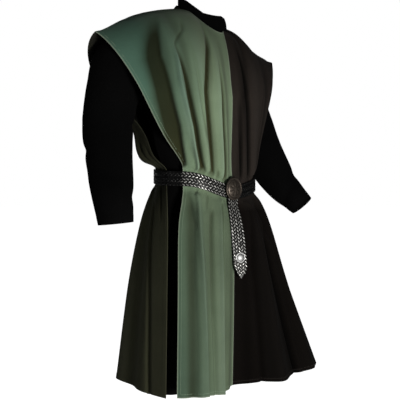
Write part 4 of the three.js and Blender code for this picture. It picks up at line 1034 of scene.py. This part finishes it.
# Creases round the arm: share along the sleeve, angle round it, share wide, millimetres
# deep, and how far the crease slants along the sleeve as it goes round.
sleeveCreases = {
    "along": [0.2, 0.34, 0.46, 0.53, 0.6, 0.71, 0.85, 0.93],
    "around": [1.0, 2.0, 3.6, 4.2, 3.2, 5.2, 0.6, 2.8],
    "wide": [0.035, 0.025, 0.03, 0.03, 0.03, 0.028, 0.03, 0.02],
    "deep": [-5, -5, -6, 5, -6, -5, -4, -4],
    "slant": [0.03, 0.05, 0.03, 0.03, 0.03, 0.05, 0.03, 0.02],
}


# Rings between the outer and the inner line of the arm, each an oval whose depth follows
# its width, with creases that fade round the ring.
def sleeveWall(side, arm):
    head = np.array([float(tunic["shoulderX"])])
    headZ = shoulderZ(side, head)[0] - tunic["underSurcoat"]
    underarmZ = tunicFrontCut["edgeZ"][0]
    headX = tunic["shoulderX"] + seamGap
    depthY = [0, *arm["y"]]
    outPoints = np.stack([side * np.array([headX, *arm["outX"]]), depthY, [headZ, *arm["outZ"]]], 1)
    inPoints = np.stack([side * np.array([headX, *arm["inX"]]), depthY, [underarmZ, *arm["inZ"]]], 1)
    at = np.linspace(0, 1, sleeve["rows"] + 1)
    outLine, inLine = curveAt(outPoints, at), curveAt(inPoints, at)

    def middle(places):
        places = np.clip(places, 0, 1)
        return (curveAt(outPoints, places) + curveAt(inPoints, places)) / 2

    centre = (outLine + inLine) / 2
    outward = outLine - centre
    radius = np.linalg.norm(outward, axis=1)
    outward = unit(outward)
    downArm = middle(at + sleeve["slopeStep"]) - middle(at - sleeve["slopeStep"])
    fore = unit(np.cross(outward, downArm))
    fore[0] = (0, -1, 0)
    fore = np.where(fore[:, 1:2] > 0, -fore, fore)
    fore[:, 2] *= arm["square"]
    fore = unit(fore)
    flat = [tunic["armholeHalfDepth"] / radius[0], *arm["flat"]]
    depth = radius * np.interp(at * (len(flat) - 1), np.arange(len(flat)), flat)
    angle = np.linspace(0, 2 * np.pi, sleeve["sides"], endpoint=False)[None]
    swell = np.zeros((len(at), sleeve["sides"]))
    for crease in tableRows(sleeveCreases):
        turned = angle - crease["around"]
        place = crease["along"] + crease["slant"] * np.sin(turned)
        facing = np.maximum(0, np.cos(turned))
        swell = swell + crease["deep"] * facing * bell(at[:, None] - place, crease["wide"])
    swell = swell * softStep(at, 0, sleeve["calmHead"])[:, None]
    fromCuff = np.linalg.norm(outLine[-1] - outLine, axis=1)[:, None] + 0 * angle
    rise = swell + sleeve["cuffRise"] * (1 - softStep(fromCuff, *sleeve["cuffFade"]))
    foreReach = np.sin(angle) * (depth[:, None] + rise)
    outReach = np.cos(angle) * (radius[:, None] + rise)
    outer = centre[:, None] + fore[:, None] * foreReach[..., None] + outward[:, None] * outReach[..., None]
    clearX = headX + sleeve["clear"] * np.minimum(1, at[1:, None] * sleeve["clearRate"])
    outer[1:, :, 0] = side * np.maximum(side * outer[1:, :, 0], clearX)
    normals = gridNormals(outer, wrap=True)
    half = sleeve["rows"] // 2
    inwards = -1 if np.dot(normals[half, 0], outer[half, 0] - centre[half]) > 0 else 1
    normals[0, :, 0] = 0
    inner = outer + inwards * unit(normals) * tunic["wall"]
    # The creases' height, given as "fold", paints shade into their hollows and a highlight on their crests.
    return outer, inner, {"fold": np.clip(swell / sleeve["toneDepth"], -1, 1), "hem": fromCuff * metre}


for pieceName, side, arm in (
    ("tunic_sleeve_right", toRight, sleeveRight),
    ("tunic_sleeve_left", toLeft, sleeveLeft),
):
    outer, inner, fields = sleeveWall(side, arm)
    piece = makeWall(pieceName + "_cloth", outer, inner, wrap=True, attributes=fields)
    dress(piece, cloths["black_cloth"], pieceName)


# Collar: its height at angles in degrees, from the middle of the front towards the
# wearer's right.
collar = {
    "wall": 2.4, "gap": 0.6, "lean": 2, "columns": 180, "rows": 22,
    "angle": [0, 22, 45, 90, 180, 270, 325, 345, 360],
    "height": [41, 35, 29, 29, 23, 20, 25, 41, 41],
}


# The band that stands on the tunic's neckline: the line raised by shares of the height
# in the table above, and drawn in a little towards the top at the front.
def collarWall():
    angle = np.linspace(0, 2 * np.pi, collar["columns"], endpoint=False)
    foot = tunicNeckLine(angle)
    fore = np.cos(angle)
    height = np.interp(np.degrees(angle), collar["angle"], collar["height"])
    share = np.linspace(0, 1, collar["rows"])[:, None]
    narrow = 1 - (collar["lean"] / neck["front"]) * share * (1 + fore)
    outer = np.stack([
        foot[:, 0] + 0 * share, foot[:, 1] * narrow, foot[:, 2] + collar["gap"] + height * share,
    ], -1)
    normals = gridNormals(outer, wrap=True)
    inwards = -1 if np.dot(normals[1, 0, :2], outer[1, 0, :2]) > 0 else 1
    inner = outer + inwards * normals * collar["wall"]
    fromTop = height * (1 - share)
    return outer, inner, {"fold": 0 * fromTop, "hem": fromTop * metre}


outer, inner, fields = collarWall()
collarPiece = makeWall("collar_cloth", outer, inner, wrap=True, attributes=fields)
dress(collarPiece, cloths["black_cloth"], "collar")
print("tunic, sleeves and collar sewn")


# Belt, tail, buckle and concho.
beltTop, beltFoot = 3, 4        # their rows in the surcoat's cuts
belt = {
    "height": 40, "wall": 4, "gap": 0.4, "foldRoom": 2, "backing": 1.6, "points": 420,
    "quarterPoints": 9, "loopPoints": 2400, "edgeInset": 1, "edgeThin": 0.6,
}
braid = {
    "columns": 5, "spacing": 7.6, "pitch": 9.6, "long": 5.6, "wide": 2.75, "thick": 1.5, "lean": 34,
    "sides": 8, "rings": 7, "endAngle": 0.3,    # a strand's own mesh, with small flat ends
}
tail = {
    "width": 38, "wall": 3.5, "length": 231, "pointLength": 34, "tipShare": 0.14, "backing": 1.4,
    "flatTo": 40, "startX": -10, "endX": 4, "standOff": 20, "fall": 62, "twist": 30, "rows": 90,
    "columns": 14, "edgeInset": 0.8, "edgeThin": 0.6, "bareTip": 8,
}
buckle = {"radius": 31, "thick": 9, "x": -10, "rise": 8, "rings": 54, "sides": 128}
concho = {"radius": 14, "thick": 5, "drop": 175, "rings": 36, "sides": 96}
# A plate's section from the rim of its back to the middle of its front, in shares of its
# radius and thickness. The two ends stop at small holes that are closed with a few quads.
plateOutline = {
    "out": [0.94, 1, 0.97, 0.86, 0.78, 0.6, 0.3, 0],
    "up": [0, 0.2, 0.45, 0.5, 0.42, 0.72, 0.94, 1],
    "backHole": 0.02, "frontHole": 0.012, "smoothing": 2,
}
# Reliefs: places and widths in shares of the radius, heights in millimetres.
buckleRelief = {
    "beads": {"at": 0.9, "wide": 0.045, "high": 0.8, "count": 36},
    "ring": {"at": 0.7, "wide": 0.03, "high": 0.7},
    "petals": {"at": 0.4, "wide": 0.2, "high": 1.0, "count": 8, "blunt": 0.8, "level": 0.45},
    "middle": {"wide": 0.13, "high": 0.9},
}
conchoRelief = {"beads": {"at": 0.9, "wide": 0.06, "high": 0.35, "count": 24}}
# Where the braid's crowns are made bright, in millimetres from the origin: over the wearer's
# right front, and a little at the right back. This is partly a polish and partly a painted
# glint, laid where the highlights fall.
braidPolishAndGlint = {
    "least": 0.12,
    "front": {"most": 0.88, "right": (14, 40), "fore": (58, 84)},
    "back": {"most": 0.5, "right": (152, 160), "aft": (-30, 0)},
}
leatherLook = {
    "black": (0.003, 0.003, 0.003), "polished": (0.75, 0.75, 0.72), "polishFrom": 0.68,
    "shine": 0.25, "coat": 0.08, "coatRoughness": 0.22, "roughness": (0.24, 0.42),
    "scuffs": {"Scale": 140.0, "Detail": 4.0, "Roughness": 0.65},
    "scuffRange": (0.38, 0.62), "scuffTone": (0.1, 1.0),
    "grainScale": 1500.0, "grainBump": 0.25, "grainDepth": 0.0002,
}
metalLooks = {
    "antiqued_metal": {"dark": (0.02, 0.015, 0.012), "bright": (0.21, 0.175, 0.145), "tarnish": 0.25},
    "polished_silver": {"dark": (0.2, 0.2, 0.2), "bright": (0.6, 0.61, 0.61), "tarnish": 0.1},
}
patina = {
    "stains": {"Scale": 90.0, "Detail": 5.0, "Roughness": 0.6},
    "bump": 0.2, "depth": 0.0003, "roughness": (0.55, 0.3), "metallic": 0.9,
}
reliefWear = {"flat": 0.35, "bright": 1.2}  # wear where flat, and the height that adds 1


# Black leather with a fine grain; the braid's crowns turn grey and metallic, partly a polish and partly a
# painted glint.
def leatherMaterial():
    material, tree, shader = newMaterial("braided_leather")
    look = leatherLook
    place = addNode(tree, "ShaderNodeTexCoord").outputs["Object"]
    scuffs = noise(tree, place, look["scuffs"])
    crown = ranged(tree, attribute(tree, "crown"), (look["polishFrom"], 1.0), (0.0, 1.0))
    scuffed = ranged(tree, scuffs, look["scuffRange"], look["scuffTone"])
    # Painted glint: the crowns turn grey and metallic, partly a polish.
    rubbed = calculated(tree, "MULTIPLY", crown, scuffed)
    grain = addNode(tree, "ShaderNodeTexVoronoi", {"Vector": place, "Scale": look["grainScale"]})
    feed(tree, shader, {
        "Base Color": colourMix(tree, rubbed, colour4(look["black"]), colour4(look["polished"])),
        "Metallic": rubbed,
        "Roughness": ranged(tree, scuffs, noiseRange, look["roughness"]),
        "Specular IOR Level": look["shine"],
        "Coat Weight": look["coat"],
        "Coat Roughness": look["coatRoughness"],
        "Normal": bump(tree, grain.outputs["Distance"], look["grainBump"], look["grainDepth"]),
    })
    return material


# Cast metal, dark in the hollows of its relief and rubbed bright on the raised parts.
def metalMaterial(name, look):
    material, tree, shader = newMaterial(name)
    place = addNode(tree, "ShaderNodeTexCoord").outputs["Object"]
    stains = noise(tree, place, patina["stains"])
    uneven = ranged(tree, stains, noiseRange, (-look["tarnish"], look["tarnish"]))
    rubbed = addNode(
        tree, "ShaderNodeMath", {0: attribute(tree, "relief"), 1: uneven}, operation="ADD", use_clamp=True
    ).outputs[0]
    feed(tree, shader, {
        "Base Color": colourMix(tree, rubbed, colour4(look["dark"]), colour4(look["bright"])),
        "Metallic": patina["metallic"],
        "Roughness": ranged(tree, rubbed, (0.0, 1.0), patina["roughness"]),
        "Normal": bump(tree, stains, patina["bump"], patina["depth"]),
    })
    return material


leather = leatherMaterial()
metals = {name: metalMaterial(name, look) for name, look in metalLooks.items()}


# The loop that the surcoat makes under the belt, with the side gaps bridged, and the
# level way out from the body at each of its points.
def waistLoop():
    def beltRow(side, face, cut):
        sections = sectionCurves(side, face, cut, belt["quarterPoints"])
        return (sections[beltTop] + sections[beltFoot]) / 2

    corners = np.concatenate([
        beltRow(toRight, toFront, frontRightCut),
        beltRow(toRight, toBack, backRightCut)[::-1],
        beltRow(toLeft, toBack, backLeftCut)[1:],
        beltRow(toLeft, toFront, frontLeftCut)[:0:-1],
    ])
    fine = curveAt(corners, np.linspace(0, 1, belt["loopPoints"]), closed=True)
    loop = evenly(fine, belt["points"] + 1)[:-1]
    tangent = np.roll(loop, -1, 0) - np.roll(loop, 1, 0)
    away = unit(np.stack([tangent[:, 1], -tangent[:, 0], 0 * tangent[:, 0]], 1))
    outwards = np.sign((away[:, :2] * loop[:, :2]).sum(1))[:, None]
    return loop, away * outwards


waist, waistOut = waistLoop()
waistLength = np.linalg.norm(np.roll(waist, -1, 0) - waist, axis=1).sum()


# A place on the belt: a distance along it, a height over its middle line and a distance
# out from the folded cloth.
def onBelt(along, up, out):
    place = (along / waistLength) % 1 * len(waist)
    ticks = np.arange(len(waist) + 1)

    def readLoop(values):
        closed = np.concatenate([values, values[:1]])
        return np.stack([np.interp(place, ticks, closed[:, n]) for n in range(3)], -1)

    stand = belt["foldRoom"] + belt["gap"] + out
    return readLoop(waist) + readLoop(waistOut) * stand[..., None] + up[..., None] * np.array([0, 0, 1.0])


# The middle of the belt's outer face at the front.
beltFront = np.array([
    0,
    frontRightCut["midY"][beltTop] - belt["foldRoom"] - belt["gap"] - belt["wall"],
    (frontRightCut["midZ"][beltTop] + frontRightCut["midZ"][beltFoot]) / 2,
])


# Half the tail's width: full, then rounded off to its point.
def tailHalf(drop):
    left = np.clip((tail["length"] - drop) / tail["pointLength"], 0, 1)
    rounded = mix(np.sqrt(1 - (1 - left) ** 2), left, 0.5)
    return tail["width"] / 2 * np.maximum(tail["tipShare"], rounded)


# A place on the tail: how far down it, how far across, and out from its back. Below the
# buckle it swings forward over the skirt and turns to the wearer's right.
def onTail(drop, across, out):
    free = np.maximum(0, drop - tail["flatTo"])
    swung = 1 - np.exp(-free / tail["fall"])
    twist = np.radians(tail["twist"] * swung)
    centre = np.stack([
        mix(tail["startX"], tail["endX"], free / (tail["length"] - tail["flatTo"])),
        beltFront[1] - seamGap - tail["standOff"] * swung,
        beltFront[2] - drop,
    ], -1)
    acrossWay = np.stack([np.cos(twist), -np.sin(twist), 0 * twist], -1)
    outWay = np.stack([-np.sin(twist), -np.cos(twist), 0 * twist], -1)
    return centre + acrossWay * across[..., None] + outWay * out[..., None]


# A closed rounded blob in its own -1 to 1 measure: rings along it, closed at both ends.
def blob(rings, sides, endAngle):
    along = -np.cos(np.linspace(endAngle, np.pi - endAngle, rings))
    girth = np.sqrt(1 - along**4)
    turn = np.linspace(0, 2 * np.pi, sides, endpoint=False)
    points = np.stack([
        np.repeat(along, sides),
        (girth[:, None] * np.cos(turn)).ravel(),
        (girth[:, None] * np.sin(turn)).ravel(),
    ], 1)
    return points, ringQuads(rings, sides)


# Herringbone strands over a length: columns that lean one way and the other by turns,
# each next column half a step on. "surface" turns belt measures into points, and
# "narrowing" gives the share of the full width at each place.
def braidStrands(length, surface, narrowing, wall, steps):
    form, faces = blob(braid["rings"], braid["sides"], braid["endAngle"])
    step, column = gridCells(steps, braid["columns"])
    along = (step + 0.5 * (column % 2) + 0.25) * length / steps
    lean = np.radians(braid["lean"]) * np.where(column % 2 == 0, 1, -1)[:, None]
    across = ((column - (braid["columns"] - 1) / 2) * braid["spacing"])[:, None]
    strand = form * (braid["long"], braid["wide"], braid["thick"])
    a, b, c = (part[None] for part in strand.T)
    alongAll = along[:, None] + a * np.cos(lean) - b * np.sin(lean)
    acrossAll = (across + a * np.sin(lean) + b * np.cos(lean)) * narrowing(along)[:, None]
    points = surface(alongAll, acrossAll, wall - braid["thick"] + c).reshape(-1, 3)
    quads = (faces[None] + (np.arange(len(along)) * len(form))[:, None, None]).reshape(-1, 4)
    crown = np.tile(np.clip(form[:, 2], 0, 1), len(along))
    return points, quads, crown


# The share of polish and painted glint at each point: soft steps sideways and forwards or
# backwards, multiplied for each bright stretch and added to the least.
def polishAndGlintShare(points):
    x, y = points[:, 0], points[:, 1]
    front, back = braidPolishAndGlint["front"], braidPolishAndGlint["back"]
    atFront = softStep(-y, *front["fore"]) * softStep(-x, *front["right"])
    atBack = softStep(-x, *back["right"]) * softStep(y, *back["aft"])
    return braidPolishAndGlint["least"] + front["most"] * atFront + back["most"] * atBack


# The belt keeps its full width all round, and the tail narrows with its outline.
def wholeWidth(along):
    return np.ones_like(along)


def tailNarrowing(along):
    return tailHalf(along) / (tail["width"] / 2)


# The belt's backing strap, a flat wall with thin edges.
def beltBacking():
    along = np.arange(belt["points"]) * waistLength / belt["points"]
    half = belt["height"] / 2 - belt["edgeInset"]
    up = np.array([1, 0.75, 0, -0.75, -1])[:, None] * half + 0 * along
    thick = np.array([belt["edgeThin"], 1, 1, 1, belt["edgeThin"]])[:, None] * belt["backing"]
    along = along + 0 * up
    return onBelt(along, up, thick + 0 * up), onBelt(along, up, 0 * up)


# The tail's backing strap, narrowed to its point.
def tailBacking():
    drop = np.linspace(0, tail["length"], tail["rows"])[:, None]
    share = np.linspace(-1, 1, tail["columns"])[None]
    thick = np.full(tail["columns"], float(tail["backing"]))
    thick[[0, -1]] *= tail["edgeThin"]
    across = share * (tailHalf(drop) - tail["edgeInset"])
    drop = drop + 0 * share
    return onTail(drop, across, thick + 0 * across), onTail(drop, across, 0 * across)


# A backing strap and the braid on it, both leather and standing for one solid.
def layBraid(name, node, backing, wrap, points, quads, crown):
    outer, inner = backing
    bare = np.zeros(outer.shape[:2])
    strap = makeWall(name + "_strap", outer, inner, wrap=wrap, attributes={"crown": bare})
    dress(strap, leather, node)
    strands = makePiece(name + "_braid", points, quads, attributes={"crown": crown}, sharp=80)
    dress(strands, leather, node)


beltSteps = round(waistLength / braid["pitch"])
points, quads, crown = braidStrands(waistLength, onBelt, wholeWidth, belt["wall"], beltSteps)
layBraid("belt", "belt", beltBacking(), True, points, quads, crown * polishAndGlintShare(points))
tailSteps = round(tail["length"] / braid["pitch"])
tailLength = tail["length"] - tail["bareTip"]
points, quads, crown = braidStrands(tailLength, onTail, tailNarrowing, tail["wall"], tailSteps)
layBraid("tail", "belt_tail", tailBacking(), False, points, quads, crown)


# A round cast plate: rings from the middle of its flat back round the rim to the middle
# of its front, with a raised relief given over radius share and angle.
def castPlate(name, size, centre, outWay, relief):
    run = np.linspace(0, 1, size["rings"])
    knots = np.linspace(0, 1, len(plateOutline["out"]))
    out = np.interp(run, knots, plateOutline["out"])
    up = np.interp(run, knots, plateOutline["up"])
    for _ in range(plateOutline["smoothing"]):
        up[1:-1] = (up[:-2] + 2 * up[1:-1] + up[2:]) / 4
    out = np.concatenate([[plateOutline["backHole"]], out])
    out[-1] = plateOutline["frontHole"]
    up = np.concatenate([[0], up])
    turn = np.linspace(0, 2 * np.pi, size["sides"], endpoint=False)
    raised = relief(out[:, None], turn[None])
    raised[:2] = 0
    sideWay = unit(np.cross([0, 0, 1.0], outWay))
    upWay = np.cross(outWay, sideWay)
    radial = sideWay * np.cos(turn)[:, None] + upWay * np.sin(turn)[:, None]
    height = up[:, None] * size["thick"] + raised
    points = centre + radial[None] * (out * size["radius"])[:, None, None] + outWay * height[..., None]
    worn = np.clip(reliefWear["flat"] + raised / reliefWear["bright"], 0, 1).ravel()
    quads = ringQuads(len(out), size["sides"])
    return makePiece(name, points.reshape(-1, 3), quads, attributes={"relief": worn}, sharp=60)


# A row of beads: a bell over the radius, raised and sunk by a cosine round the angle.
def beadRow(row, out, turn):
    return row["high"] * bell(out - row["at"], row["wide"]) * (0.5 + 0.5 * np.cos(row["count"] * turn))


# The buckle's relief: beads round the rim, a ring, and a flower with a round middle.
def flowerRelief(out, turn):
    ring, petals, middle = (buckleRelief[key] for key in ("ring", "petals", "middle"))
    lobes = np.abs(np.cos(petals["count"] / 2 * turn)) ** petals["blunt"] - petals["level"]
    return (
        beadRow(buckleRelief["beads"], out, turn)
        + ring["high"] * bell(out - ring["at"], ring["wide"])
        + petals["high"] * bell(out - petals["at"], petals["wide"]) * lobes
        + middle["high"] * bell(out, middle["wide"])
    )


# The concho's relief: a plain dome with beads round its rim.
def rimRelief(out, turn):
    return beadRow(conchoRelief["beads"], out, turn)


buckleSeat = beltFront + np.array([buckle["x"], -2 * seamGap - tail["wall"], buckle["rise"]])
bucklePlate = castPlate("buckle_plate", buckle, buckleSeat, np.array([0, -1.0, 0]), flowerRelief)
dress(bucklePlate, metals["antiqued_metal"], "belt_buckle")
seatDrop, centred = np.array([float(concho["drop"])]), np.zeros(1)
conchoSeat = onTail(seatDrop, centred, np.array([tail["wall"] + seamGap]))[0]
conchoOut = onTail(seatDrop, centred, np.ones(1))[0] - onTail(seatDrop, centred, np.zeros(1))[0]
conchoPlate = castPlate("concho_plate", concho, conchoSeat, conchoOut, rimRelief)
dress(conchoPlate, metals["polished_silver"], "belt_concho")
print("belt braided and buckle set")
